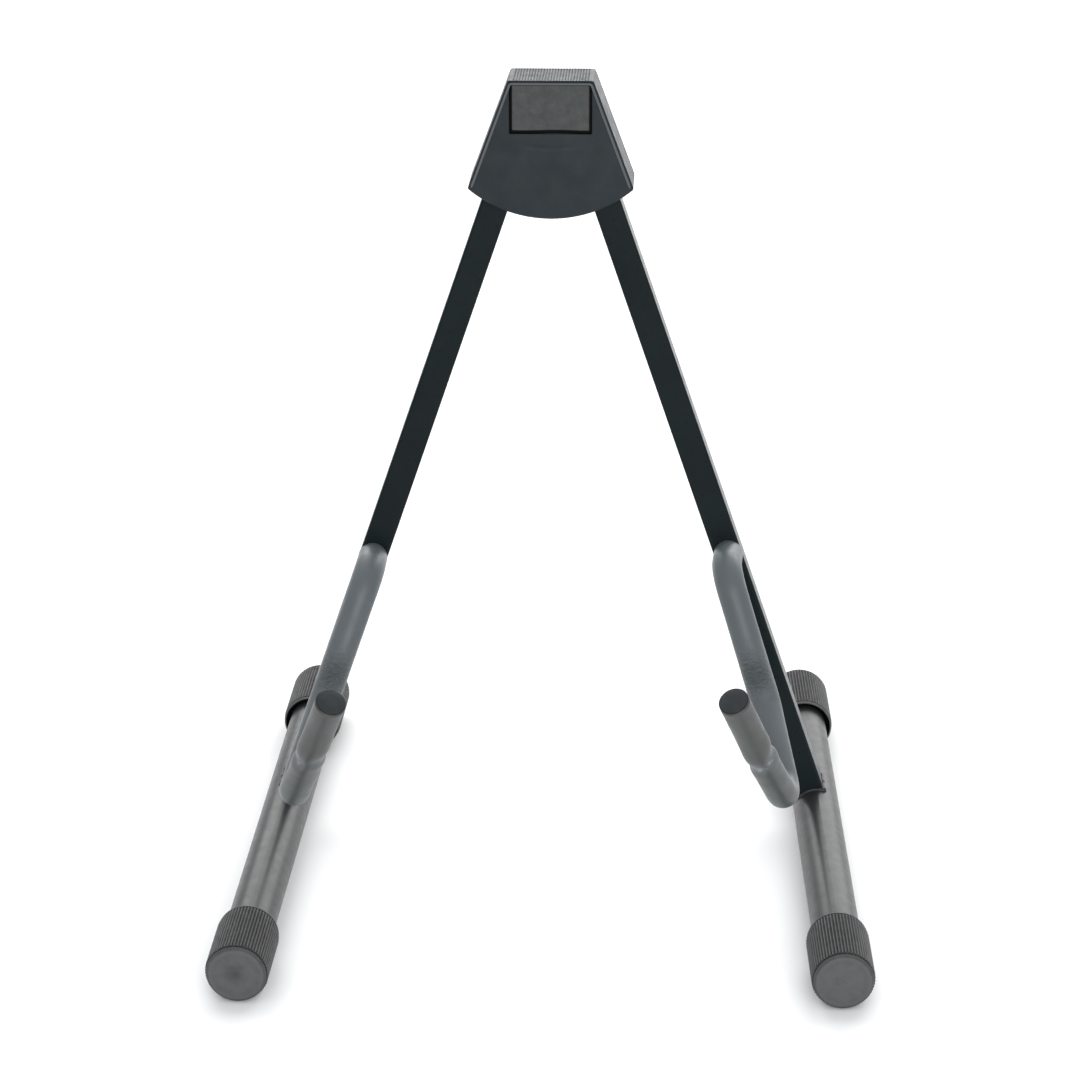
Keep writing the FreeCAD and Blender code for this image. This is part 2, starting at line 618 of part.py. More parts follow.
def rear_cover(block):
    inner_face = HEAD_REAR - HEAD_BACK
    start = HEAD_SPLIT + JOINT_GAP
    cover = head_half(block, start, HEAD_REAR + 1)
    cover = cover.cut(head_cavity(HEAD_WALL, start, inner_face))
    tongue_inset = HEAD_WALL + JOINT_GAP
    tongue_from = HEAD_SPLIT - TONGUE_REACH
    tongue_to = start + TONGUE_ROOT
    tongue = head_cavity(tongue_inset, tongue_from, tongue_to)
    tongue = tongue.cut(head_cavity(tongue_inset + TONGUE_THICK, tongue_from, tongue_to))
    additions = [tongue.common(block)]
    boss_end = BACK_FACE_OF_SECTOR + BUSH_FLANGE + FACE_GAP
    for x, z in screw_spots():
        additions.append(y_cylinder(BOSS_R, x, z, start, inner_face))
    for sign in (1, -1):
        additions.append(y_cylinder(
            BUSH_FLANGE_R, sign * PIVOT_HALF_SPAN, PIVOT_HEIGHT, boss_end, inner_face))
    for x, z in screw_spots():
        clear_of_front_boss = y_cylinder(BOSS_R + SCREW_CLEARANCE, x, z, tongue_from - 1, start)
        additions[0] = additions[0].cut(clear_of_front_boss)
    for piece in additions:
        cover = cover.fuse(piece)
    cover = cover.common(block)
    for x, z in screw_spots():
        cover = cover.cut(y_cylinder(SCREW_R + SCREW_CLEARANCE, x, z, start - 1, HEAD_REAR))
        cover = cover.cut(y_cylinder(
            SCREW_HEAD_R + SCREW_CLEARANCE, x, z, HEAD_REAR - SCREW_SEAT_DEPTH, HEAD_REAR + 1))
    for sign in (1, -1):
        cover = cover.cut(y_cylinder(
            BOLT_R + RUNNING_CLEARANCE, sign * PIVOT_HALF_SPAN, PIVOT_HEIGHT, 0, HEAD_REAR + 1))
    return placed(cover.cut(band_grooves()), HEAD_FRAME)


def head_pad():
    """Firm rubber pad glued into the recess, where the instrument's back leans."""
    pad = Part.makeBox(
        PAD_WIDTH, PAD_THICK, PAD_HEIGHT,
        Vector(-PAD_WIDTH / 2, HEAD_FRONT + PAD_RECESS - PAD_THICK,
               HEAD_TOP - PAD_FROM_TOP - PAD_HEIGHT))
    upright = [e for e in pad.Edges if abs(e.Length - PAD_THICK) < 1e-6]
    pad = pad.makeFillet(PAD_CORNER_R, upright)
    front = [e for e in pad.Edges
             if all(v.Y < HEAD_FRONT + PAD_RECESS - PAD_THICK + 1e-6 for v in e.Vertexes)]
    return placed(pad.makeFillet(PAD_EDGE_R, front), HEAD_FRAME)


# --- pivots and screws, in the head frame ---
def nut_form(circle_r, thick):
    """A hexagonal prism along Y from 0, without its thread."""
    corners = [(circle_r * cos(k * pi / 3), circle_r * sin(k * pi / 3)) for k in range(6)]
    return y_prism(corners, 0, thick)


def pivot_nut(sign):
    nut = nut_form(NUT_FLATS / 2 / cos(pi / 6), NUT_THICK)
    nut = nut.cut(y_cylinder(BOLT_R, 0, 0, -1, NUT_THICK + 1))
    nut_y = -HALF_DEPTH - BUSH_FLANGE - NUT_GAP - NUT_THICK
    nut.translate(Vector(sign * PIVOT_HALF_SPAN, nut_y, PIVOT_HEIGHT))
    return placed(nut, HEAD_FRAME)


def pivot_washer(sign):
    x = sign * PIVOT_HALF_SPAN
    washer = y_cylinder(WASHER_R, x, PIVOT_HEIGHT, HEAD_REAR, HEAD_REAR + WASHER_THICK)
    hole = y_cylinder(BOLT_R + RUNNING_CLEARANCE, x, PIVOT_HEIGHT, HEAD_REAR - 1, HEAD_REAR + 3)
    return placed(washer.cut(hole), HEAD_FRAME)


def domed_head(radius, height, socket_r):
    """A button head up Y from 0, with a hexagon socket."""
    dome_r = (radius ** 2 + height ** 2) / (2 * height)
    dome = Part.makeSphere(dome_r, Vector(0, height - dome_r, 0))
    disc = y_cylinder(radius, 0, 0, 0, height)
    socket = nut_form(socket_r, height)
    socket.translate(Vector(0, height * SOCKET_FLOOR_SHARE, 0))
    return disc.common(dome).cut(socket)


def pivot_bolt(sign):
    """Bolt through the rear cover, sector, leg and bushes into the nut in the front cover."""
    seat = HEAD_REAR + WASHER_THICK
    tip = -HALF_DEPTH - BUSH_FLANGE - NUT_THICK
    shank = y_cylinder(BOLT_R, 0, 0, tip, seat)
    head = domed_head(BOLT_HEAD_R, BOLT_HEAD_HEIGHT, BOLT_SOCKET_R)
    head.translate(Vector(0, seat, 0))
    bolt = shank.fuse(head)
    bolt.translate(Vector(sign * PIVOT_HALF_SPAN, 0, PIVOT_HEIGHT))
    return placed(bolt, HEAD_FRAME)


def cover_screws():
    screws = []
    for x, z in screw_spots():
        seat = HEAD_REAR - SCREW_SEAT_DEPTH
        head = domed_head(SCREW_HEAD_R, SCREW_HEAD_HEIGHT, SCREW_SOCKET_R)
        head.translate(Vector(0, seat, 0))
        screw = y_cylinder(SCREW_R, 0, 0, seat - SCREW_LENGTH, seat).fuse(head)
        screw.translate(Vector(x, 0, z))
        screws.append(placed(screw, HEAD_FRAME))
    return screws


def tension_spring():
    """Close-wound spring between the two posts, with an eye round each."""
    height = PIVOT_HEIGHT + POST_RISE * cos(SPLAY_RAD)
    post_x = PIVOT_HALF_SPAN - POST_RISE * sin(SPLAY_RAD)
    coil_length = SPRING_TURNS * SPRING_PITCH
    helix = Part.makeHelix(SPRING_PITCH, coil_length, SPRING_R)
    section = Part.Wire(Part.makeCircle(SPRING_WIRE_R, Vector(SPRING_R, 0, 0), Y_AXIS))
    coil = Part.Wire(helix.Edges).makePipeShell([section], True, True)
    coil.Placement = Placement(
        Vector(-coil_length / 2, SPRING_Y, height), Rotation(Z_AXIS, -Y_AXIS, X_AXIS, "ZXY"))
    eye_r = POST_R + SPRING_WIRE_R + SPRING_EYE_GAP
    lean = radians(SPRING_LINK_ANGLE)
    spring = coil
    for sign in (1, -1):
        eye = Part.makeTorus(eye_r, SPRING_WIRE_R, Vector(sign * post_x, SPRING_Y, height), Y_AXIS)
        start = Vector(sign * coil_length / 2, SPRING_Y, height + SPRING_R)
        end = Vector(sign * (post_x - eye_r * cos(lean)), SPRING_Y, height + eye_r * sin(lean))
        link = Part.makeCylinder(SPRING_WIRE_R, (end - start).Length, start, end - start)
        spring = spring.fuse(link).fuse(eye)
    return placed(spring, HEAD_FRAME)


def write_side(side, phase):
    """Every piece that moves with one leg."""
    pieces = {
        "leg_tube": [leg_tube(side)],
        "leg_bushes": [placed(bush, LEG_FRAME) for bush in leg_bushes()],
        "gear_sector": [drilled_sector(phase)],
        "sector_rivets": [placed(rivet, LEG_FRAME) for rivet in sector_rivets()],
        "spring_post": [placed(spring_post(), LEG_FRAME)],
        "foot_tube": [placed(foot_tube(), FOOT_FRAME)],
        "front_cap": [placed(front_cap(), FOOT_FRAME)],
        "rear_cap": [placed(rear_cap(), FOOT_FRAME)],
        "support_rod": [placed(support_rod(side), LEG_FRAME)],
        "support_sleeve": [placed(support_sleeve(side), LEG_FRAME)],
        "tip_plug": [placed(tip_plug(side), LEG_FRAME)]}
    for name, solids in pieces.items():
        write(side + "_" + name, *[mirrored(solid, side) for solid in solids])


def write_head():
    """Every piece that stays with the head."""
    block = head_block()
    write("head_front_cover", front_cover(block))
    write("head_rear_cover", rear_cover(block))
    write("head_pad", head_pad())
    write("cover_screws", *cover_screws())
    write("pivot_nuts", pivot_nut(1), pivot_nut(-1))
    write("pivot_washers", pivot_washer(1), pivot_washer(-1))
    write("right_pivot_bolt", pivot_bolt(1))
    write("left_pivot_bolt", pivot_bolt(-1))
    write("tension_spring", tension_spring())


os.makedirs("parts", exist_ok=True)
write_head()
write_side("right", 0.5)    # a gap between teeth on the line of centres
write_side("left", 0.0)     # a tooth on the line of centres
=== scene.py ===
import bmesh
import bpy
import json
from math import acos, atan, cos, exp, pi, radians, sin, sqrt, tan
from mathutils import Matrix, Vector, noise


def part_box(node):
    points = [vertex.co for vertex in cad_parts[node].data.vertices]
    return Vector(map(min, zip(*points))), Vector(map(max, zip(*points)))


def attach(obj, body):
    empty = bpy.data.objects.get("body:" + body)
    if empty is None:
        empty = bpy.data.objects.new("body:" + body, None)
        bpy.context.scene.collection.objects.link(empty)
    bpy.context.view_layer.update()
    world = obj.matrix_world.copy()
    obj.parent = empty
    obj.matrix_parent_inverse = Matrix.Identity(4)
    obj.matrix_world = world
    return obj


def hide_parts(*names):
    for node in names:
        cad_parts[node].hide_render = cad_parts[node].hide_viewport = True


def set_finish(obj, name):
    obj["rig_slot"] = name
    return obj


# Folding A-frame guitar stand: its look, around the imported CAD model. Metres, +Z up, front towards -Y.
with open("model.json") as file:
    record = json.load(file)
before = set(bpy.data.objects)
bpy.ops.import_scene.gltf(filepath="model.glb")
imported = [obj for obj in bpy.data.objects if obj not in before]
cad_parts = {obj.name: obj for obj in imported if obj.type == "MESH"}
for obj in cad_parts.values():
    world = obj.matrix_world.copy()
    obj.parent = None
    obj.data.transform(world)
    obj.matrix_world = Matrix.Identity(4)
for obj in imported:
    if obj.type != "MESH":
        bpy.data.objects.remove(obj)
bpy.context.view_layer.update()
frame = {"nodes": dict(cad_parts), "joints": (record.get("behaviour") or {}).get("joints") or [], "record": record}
NODES = frame["nodes"]
SIDES = ("left", "right")
MM = 0.001

# --- frames of the stand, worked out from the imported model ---
JOINTS = {joint["name"]: joint for joint in frame["joints"]}
FORWARD = Vector(JOINTS["left_fold"]["axis"]).normalized()     # out of the head's face
ACROSS = Vector((1, 0, 0))
UP_HEAD = Vector((0, FORWARD.z, -FORWARD.y))
SPLAY = radians(max(JOINTS["left_fold"]["range_deg"]))
LEG_UP = cos(SPLAY) * UP_HEAD - sin(SPLAY) * ACROSS            # the right leg
LEG_OUT = cos(SPLAY) * ACROSS + sin(SPLAY) * UP_HEAD
PIVOT = Vector(JOINTS["right_fold"]["pos_m"])
CAP_LOW, CAP_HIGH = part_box("right_front_cap")
TUBE_LOW, TUBE_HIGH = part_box("right_foot_tube")
CAP_R = (CAP_HIGH.z - CAP_LOW.z) / 2
TUBE_R = (TUBE_HIGH.z - TUBE_LOW.z) / 2
FOOT_JOINT = PIVOT - LEG_UP * ((PIVOT.z - CAP_R) / LEG_UP.z)
TOE_OUT = atan(FORWARD.z * tan(SPLAY))
FOOT_BACK = Vector((-sin(TOE_OUT), cos(TOE_OUT), 0))
MIRROR = Matrix.Diagonal((-1, 1, 1, 1))


def frame_matrix(x_axis, y_axis, z_axis, origin):
    """The matrix from a local frame to the world."""
    rows = Matrix((x_axis, y_axis, z_axis)).transposed().to_4x4()
    return Matrix.Translation(origin) @ rows


def sided(matrix, side):
    """The right side's matrix, or its mirror image."""
    return matrix if side == "right" else MIRROR @ matrix


LEG_FRAME = frame_matrix(LEG_OUT, -FORWARD, LEG_UP, FOOT_JOINT)

# --- sizes that the CAD model has too ---
LEG_HALF_WIDTH = 7.5 * MM
LEG_HALF_DEPTH = 10.0 * MM
LEG_CORNER_R = 1.6 * MM
SLEEVE_R = 7.9 * MM
SLEEVE_BORE_R = 4.6 * MM
ARM_HEIGHT = {"left": 149.4 * MM, "right": 152.7 * MM}
ARM_CANT = {"left": radians(0.4), "right": radians(2.6)}
ARM_TILT = {"left": radians(0.9), "right": radians(0.3)}
ARM_OUT = (30.0 * MM, 0.0)
SEAT_REAR = (56.0 * MM, -68.0 * MM)
SEAT_LOW = (106.5 * MM, -109.5 * MM)
TIP_BEND = (136.0 * MM, -77.0 * MM)
ARM_TIP = {"left": (167.6 * MM, -31.2 * MM), "right": (169.4 * MM, -28.8 * MM)}
BEND_RADII = (20.0 * MM, 26.0 * MM, 18.0 * MM, 16.0 * MM)
PLUG_R = 7.8 * MM
PLUG_RIM = 1.2 * MM
PLUG_DOME = 1.1 * MM
PLUG_STEM = 9.0 * MM
HEAD_TOP = 402.0 * MM
HEAD_CORNER = 344.7 * MM
HEAD_TOP_HALF = 22.5 * MM
HEAD_CORNER_HALF = 43.85 * MM
HEAD_FRONT = -17.0 * MM
CAP_LENGTH = 46.0 * MM
CAP_RIBS = 60
CAP_RIB_DEPTH = 0.55 * MM

# --- sizes of the new pieces ---
KINK_FROM_BEND = 11.0 * MM     # from the tip bend to the neck of the sleeve's kink
CAP_RIM = 1.6 * MM             # from the widest ribs in to the edge of a cap's end
CAP_BORE_END = 43.0 * MM
CAP_DISC_R = 12.6 * MM         # the dished middle of a cap's end
CAP_DISC_HEIGHT = 45.84 * MM
CAP_DISC_DISH = 0.8 * MM
DIMPLE_WIDTH = 5.0 * MM
CAP_DIMPLES = {                # depth of the dimple in each cap's end, and its place off the middle
    ("left", "front"): (0.45 * MM, (-1.0 * MM, 0.8 * MM)),
    ("right", "front"): (0.08 * MM, (0.6 * MM, 0.5 * MM)),
    ("left", "rear"): (0.25 * MM, (0.5 * MM, -0.5 * MM)),
    ("right", "rear"): (0.3 * MM, (-0.6 * MM, 0.4 * MM))}

# --- values that the meshes hand to their materials, vertex by vertex ---
GROOVE_SHADE = "groove"      # painted shade: 1 at its darkest, in grooves, gaps and dips; 0 on an open surface
CREASE = "crease"      # 1 where the sleeve is wrinkled most
BEAD_HIGHLIGHT = "painted_bead_highlight"          # 1 on the head's face bead, where a painted highlight lightens the plastic
KINK_HIGHLIGHT = "painted_kink_highlight"      # 1 where a pale band is painted just below the sleeve's kink, as a painted highlight


# --- mesh helpers ---
def mesh_piece(name, vertices, faces, body, slot):
    """A closed, smooth-shaded mesh that rides on a body, its faces turned outwards."""
    mesh = bpy.data.meshes.new(name)
    mesh.from_pydata([tuple(v) for v in vertices], [], faces)
    shell = bmesh.new()
    shell.from_mesh(mesh)
    bmesh.ops.recalc_face_normals(shell, faces=shell.faces)
    shell.to_mesh(mesh)
    shell.free()
    mesh.shade_smooth()
    piece = bpy.data.objects.new(name, mesh)
    bpy.context.scene.collection.objects.link(piece)
    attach(piece, body)
    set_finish(piece, slot)
    return piece


def mark(piece, name, values):
    """Stores one value per vertex, for the materials."""
    piece.data.attributes.new(name, "FLOAT", "POINT").data.foreach_set("value", values)


def ring_faces(rings, around, closed=False):
    """Quads between neighbouring rings of vertices; closed also joins the last to the first."""
    faces = []
    for ring in range(rings if closed else rings - 1):
        for k in range(around):
            a = ring * around + k
            b = ring * around + (k + 1) % around
            shift = ((ring + 1) % rings - ring) * around
            faces.append((a, b, b + shift, a + shift))
    return faces


def smoothstep(low, high, value):
    """Goes smoothly from 0 at low to 1 at high."""
    t = min(1.0, max(0.0, (value - low) / (high - low)))
    return t * t * (3 - 2 * t)


def bump_shape(value, middle, width):
    """A bell of height 1 about the middle."""
    return exp(-((value - middle) / width) ** 2)


def jitter(spot, size, depth):
    """A small shift that varies smoothly over about size metres, the same in every run."""
    return depth * Vector([noise.noise(spot / size + Vector((shift, 0, 0))) for shift in (0, 7, 19)])


# --- support arms ---
def bent_line(corners, radii, step):
    """Evenly spaced points of a flat line with rounded inner corners."""
    points = [Vector(corners[0])]
    for index, radius in enumerate(radii):
        before, corner, after = (Vector(c) for c in corners[index:index + 3])
        back = (before - corner).normalized()
        onward = (after - corner).normalized()
        half_turn = (pi - acos(back.dot(onward))) / 2
        centre = corner + (back + onward).normalized() * (radius / cos(half_turn))
        run_in = corner + back * radius * tan(half_turn)
        start = (run_in - centre) / radius
        middle = (corner - centre).normalized()
        side = (middle - start * start.dot(middle)).normalized()
        count = max(4, int(2 * half_turn * radius / step * 3))
        for k in range(count + 1):
            angle = 2 * half_turn * k / count
            points.append(centre + radius * (start * cos(angle) + side * sin(angle)))
    points.append(Vector(corners[-1]))
    return resampled(points, step)


def resampled(points, step):
    """The same line with points a step apart."""
    lengths = [0.0]
    for a, b in zip(points, points[1:]):
        lengths.append(lengths[-1] + (b - a).length)
    count = int(lengths[-1] / step)
    even = []
    index = 0
    for k in range(count + 1):
        target = lengths[-1] * k / count
        while index < len(points) - 2 and lengths[index + 1] < target:
            index += 1
        span = lengths[index + 1] - lengths[index]
        share = (target - lengths[index]) / span if span else 0.0
        even.append(points[index].lerp(points[index + 1], share))
    return even


def arm_matrix(side):
    """From the arm's own frame (across, back, up from its root) to the world."""
    root = Matrix.Translation((0, -LEG_HALF_DEPTH, ARM_HEIGHT[side]))
    cant = Matrix.Rotation(-ARM_CANT[side], 4, "Z")
    tilt = Matrix.Rotation(-ARM_TILT[side], 4, "Y")
    return sided(LEG_FRAME @ root @ cant @ tilt, side)


def tip_heading(side):
    """Direction of the arm's last straight run, in the arm's plane."""
    return (Vector(ARM_TIP[side]) - Vector(TIP_BEND)).normalized()


def nearest_index(points, corner):
    """Index of the point of a line that is nearest a corner."""
    return min(range(len(points)), key=lambda k: (points[k] - Vector(corner)).length)


def jogged(points, middle, reach, amount):
    """The line with a small S-bend about one of its points."""
    moved = []
    step = (points[1] - points[0]).length
    for k, point in enumerate(points):
        x = (k - middle) * step / reach
        along = (points[min(k + 1, len(points) - 1)] - points[max(k - 1, 0)]).normalized()
        sideways = Vector((-along.y, along.x))
        moved.append(point - sideways * (amount * x * exp((1 - x * x) / 2)))
    return moved


def crease_share(length, angle, marks):
    """How strongly the tube is pressed together: the inner side of the rear bend and just above it."""
    return bump_shape(length, marks["rear"] - 14 * MM, 11 * MM) * max(0.0, cos(angle)) ** 1.2


def kink_place(angle, marks, slant):
    """Length at which the neck of the kink crosses the tube; it runs at a slant."""
    return marks["tip"] + KINK_FROM_BEND + 3.6 * MM * slant * sin(angle)


def sleeve_radius(length, angle, marks, slant):
    """Outer radius of the sleeve at a length from the root; angle 0 faces the instrument."""
    radius = SLEEVE_R
    # The soft tube flattens a little in each bend.
    for mark, strength in ((marks["first"], 0.16), (marks["rear"], 0.14), (marks["low"], 0.22)):
        radius -= strength * MM * cos(2 * angle) * bump_shape(length, mark, 14 * MM)
    # Fine wrinkles across the pressed side.
    wrinkle_pitch = 2.3 * MM
    warp = 1.3 * sin(3 * angle) + 2.0 * sin(length / (5 * MM))
    warp += 0.8 * sin(7 * angle + length / (3 * MM))
    ripple = sin(2 * pi * length / wrinkle_pitch + warp)
    radius += 0.34 * MM * ripple * crease_share(length, angle, marks)
    # A kink where the tube leaves its bend: a slanted neck with a soft shoulder below it.
    neck = kink_place(angle, marks, slant)
    radius -= 0.95 * MM * bump_shape(length, neck, 3.6 * MM) * (0.55 + 0.45 * sin(angle) ** 2)
    radius += 0.35 * MM * bump_shape(length, neck - 7.0 * MM, 4.5 * MM)
    radius += 0.25 * MM * bump_shape(length, neck + 8.0 * MM, 5.0 * MM)
    # Slow unevenness of a soft extruded tube.
    radius += 0.06 * MM * sin(length / (23 * MM) + 2 * sin(angle))
    return radius


def support_sleeve(side):
    """Soft tube over the rod, from the leg's face to the plug in its tip."""
    step = 0.8 * MM
    around = 72
    buried = -0.35 * MM
    edge_r = 0.9 * MM
    bore_skip = 4
    corners = [(buried, 0.0), ARM_OUT, SEAT_REAR, SEAT_LOW, TIP_BEND, ARM_TIP[side]]
    line = bent_line(corners, BEND_RADII, step)
    tip_turn = nearest_index(line, TIP_BEND)
    marks = {name: nearest_index(line, corner) * step for name, corner in (
        ("first", ARM_OUT), ("rear", SEAT_REAR), ("low", SEAT_LOW), ("tip", TIP_BEND))}
    line = jogged(line, tip_turn + int(KINK_FROM_BEND / step), 9 * MM, 0.8 * MM)
    place = arm_matrix(side)
    slant = 1 if side == "right" else -1
    vertices = []
    creased = []
    highlighted = []

    def add_ring(index, radius_at):
        """Ring of vertices about one point of the line, and their creases and painted highlight."""
        ahead = line[min(index + 1, len(line) - 1)] - line[max(index - 1, 0)]
        ahead.normalize()
        inward = Vector((0, ahead.y, ahead.x))
        centre = Vector((0, -line[index].x, line[index].y))
        for k in range(around):
            angle = 2 * pi * k / around
            offset = inward * cos(angle) + ACROSS * sin(angle)
            vertices.append(place @ (centre + offset * radius_at(angle)))
            creased.append(crease_share(index * step, angle, marks))
            neck = kink_place(angle, marks, slant)
            # A band just below the neck that the material paints pale: a painted highlight where the tube turns up
            # to the light.
            highlighted.append(bump_shape(index * step, neck - 1.5 * MM, 4.0 * MM))

    rings = 0
    total = (len(line) - 1) * step
    for index in range(len(line)):
        from_end = total - index * step
        rounding = 0.0
        if from_end < edge_r:
            rounding = edge_r - sqrt(max(0.0, edge_r ** 2 - (edge_r - from_end) ** 2))
        add_ring(index, lambda a: sleeve_radius(index * step, a, marks, slant) - rounding)
        rings += 1
    for index in range(len(line) - 1, -1, -bore_skip):
        add_ring(index, lambda a: SLEEVE_BORE_R)
        rings += 1
    faces = ring_faces(rings, around, closed=True)
    piece = mesh_piece(side + "_arm_sleeve", vertices, faces, side + "_leg", "sleeve_pvc")
    mark(piece, CREASE, creased)
    mark(piece, KINK_HIGHLIGHT, highlighted)
    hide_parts(side + "_support_sleeve")
    return piece


def turned_piece(name, profile, place, around, body, slot):
    """A turned solid about Z from (radius, height, painted shade) points, the first and last on the axis."""
    inner = [point for point in profile if point[0] > 0]
    vertices = [place @ Vector((0, 0, profile[0][1]))]
    for radius, height, dark in inner:
        for k in range(around):
            angle = 2 * pi * k / around
            vertices.append(place @ Vector((radius * cos(angle), radius * sin(angle), height)))
    vertices.append(place @ Vector((0, 0, profile[-1][1])))
    last = len(vertices) - 1
    faces = [tuple(i + 1 for i in face) for face in ring_faces(len(inner), around)]
    for k in range(around):
        faces.append((0, 1 + (k + 1) % around, 1 + k))
        base = 1 + (len(inner) - 1) * around
        faces.append((last, base + k, base + (k + 1) % around))
    piece = mesh_piece(name, vertices, faces, body, slot)
    shaded = [0.0] + [dark for radius, height, dark in inner for k in range(around)] + [0.0]
    mark(piece, GROOVE_SHADE, shaded)
    return piece


def plug_profile():
    """Stem, undercut neck, rim with a rolled edge and low dome: (radius, height, painted shade)."""
    stem_r = SLEEVE_BORE_R - 0.05 * MM
    stem_edge = 0.8 * MM
    neck_r = PLUG_R - 0.9 * MM
    # The stem, the neck and the side of the rim are near black with painted shade; it fades out over the rolled
    # edge.
    profile = [
        (0, -PLUG_STEM, 0), (stem_r - stem_edge, -PLUG_STEM, 0), (stem_r, -PLUG_STEM + stem_edge, 0),
        (stem_r, -0.1 * MM, 1), (stem_r + 0.2 * MM, 0.0, 1), (neck_r, 0.02 * MM, 1),
        (neck_r, 0.6 * MM, 1), (PLUG_R - 0.2 * MM, 0.62 * MM, 1), (PLUG_R, 0.75 * MM, 1),
        (PLUG_R, PLUG_RIM * 0.75, 1)]
    edge_steps = 6
    for k in range(1, edge_steps + 1):
        turn = pi / 2 * k / edge_steps
        radius = PLUG_R - 0.6 * MM * (1 - cos(turn))
        height = PLUG_RIM * 0.75 + 0.45 * MM * sin(turn)
        profile.append((radius, height, smoothstep(1.0, 0.4, k / edge_steps)))
    dome_steps = 22
    edge_r, edge_height = profile[-1][:2]
    dome_r = (PLUG_R ** 2 + PLUG_DOME ** 2) / (2 * PLUG_DOME)
    peak = PLUG_RIM + PLUG_DOME
    drop = peak - (dome_r - sqrt(dome_r ** 2 - edge_r ** 2)) - edge_height
    for k in range(1, dome_steps):
        radius = edge_r * (1 - k / dome_steps)
        height = peak - (dome_r - sqrt(dome_r ** 2 - radius ** 2))
        # The dome meets the rolled edge without a step.
        height -= drop * smoothstep(edge_r * 0.75, edge_r, radius)
        profile.append((radius, height, 0))
    profile.append((0, peak, 0))
    return profile


def tip_plug(side):
    """Plug pressed into the open end of the sleeve."""
    heading = tip_heading(side)
    tip = Vector((0, -ARM_TIP[side][0], ARM_TIP[side][1]))
    along = Vector((0, -heading.x, heading.y))
    local = frame_matrix(ACROSS, along.cross(ACROSS), along, tip)
    piece = turned_piece(
        side + "_sleeve_plug", plug_profile(), arm_matrix(side) @ local, 80, side + "_leg",
        "plug_plastic")
    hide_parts(side + "_tip_plug")
    return piece


# --- rubber caps ---
def cap_profile():
    """From the bore over the mouth's lip to the end: (radius, height, rib share, painted shade)."""
    bore = [
        (12.58, 43.0, 0, 1), (12.58, 30.0, 0, 1), (12.58, 15.0, 0, 1), (12.6, 6.6, 0, 1),
        (12.9, 6.0, 0, 1), (14.5, 5.9, 0, 1), (14.7, 5.4, 0, 1)]
    lip = [
        (14.7, 0.35, 0, 1), (14.85, 0.08, 0, 0.6), (15.15, 0.0, 0, 0), (15.5, 0.05, 0, 0),
        (15.75, 0.3, 0, 0), (15.85, 0.7, 0, 0), (15.8, 1.15, 0, 0.3), (15.5, 1.45, 0, 1),
        (15.3, 1.65, 0, 1), (15.3, 1.95, 0, 1), (15.55, 2.15, 0, 0.8), (16.0, 2.3, 0.35, 0),
        (16.2, 2.5, 0.8, 0), (16.3, 2.8, 1, 0)]
    wall = [(16.3, 2.8 + 39.9 * k / 20, 1, 0) for k in range(1, 20)]
    shoulder = [
        (16.3, 42.7, 1, 0), (16.22, 43.1, 0.85, 0.2), (15.95, 43.4, 0.4, 0.8),
        (15.65, 43.6, 0.1, 1), (15.5, 43.8, 0, 1), (15.55, 44.0, 0, 1), (15.62, 44.2, 0, 0.5),
        (15.45, 44.45, 0, 0.2), (15.0, 44.95, 0, 0.3), (14.5, 45.45, 0, 0.26), (14.15, 45.75, 0, 0.1),
        (13.8, 45.93, 0, 0), (13.4, 46.0, 0, 0), (13.0, 45.93, 0, 0)]
    disc_rings = 16
    disc = [(CAP_DISC_R * (1 - k / disc_rings), CAP_DISC_HEIGHT, 0, 0) for k in range(disc_rings)]
    return [(r * MM, h * MM, ribs, dark) for r, h, ribs, dark in bore + lip + wall + shoulder] + disc


def disc_relief(r, angle, dimple):
    """How deep the dished end of a cap lies at one place, and how much painted shade it takes there."""
    depth, middle = dimple
    away = (Vector((r * cos(angle), r * sin(angle))) - Vector(middle)).length
    dip = depth * bump_shape(away, 0, DIMPLE_WIDTH)
    dish = CAP_DISC_DISH * (1 - (r / CAP_DISC_R) ** 2)
    # Painted shade: darker in the dimple, and a faint dark ring inside the end's rim.
    return dish + dip, 0.75 * dip / MM + 0.08 * bump_shape(r, 11.5 * MM, 1.6 * MM)


def cap_place(side, end, node):
    """From a cap's own frame, with its mouth at height 0 and its closed end up, to the world."""
    low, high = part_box(node)
    towards = FOOT_BACK if end == "rear" else -FOOT_BACK
    box_y = high.y if end == "rear" else low.y
    # The end disc's rim reaches the box, so its middle is a little short of it.
    reach = abs(box_y - FOOT_JOINT.y) - (CAP_R - CAP_RIM) * sin(TOE_OUT)
    mouth = FOOT_JOINT + towards * (reach / abs(towards.y) - CAP_LENGTH)
    sideways = towards.cross(Vector((0, 0, 1)))
    return sided(frame_matrix(sideways, Vector((0, 0, 1)), towards, mouth), side)


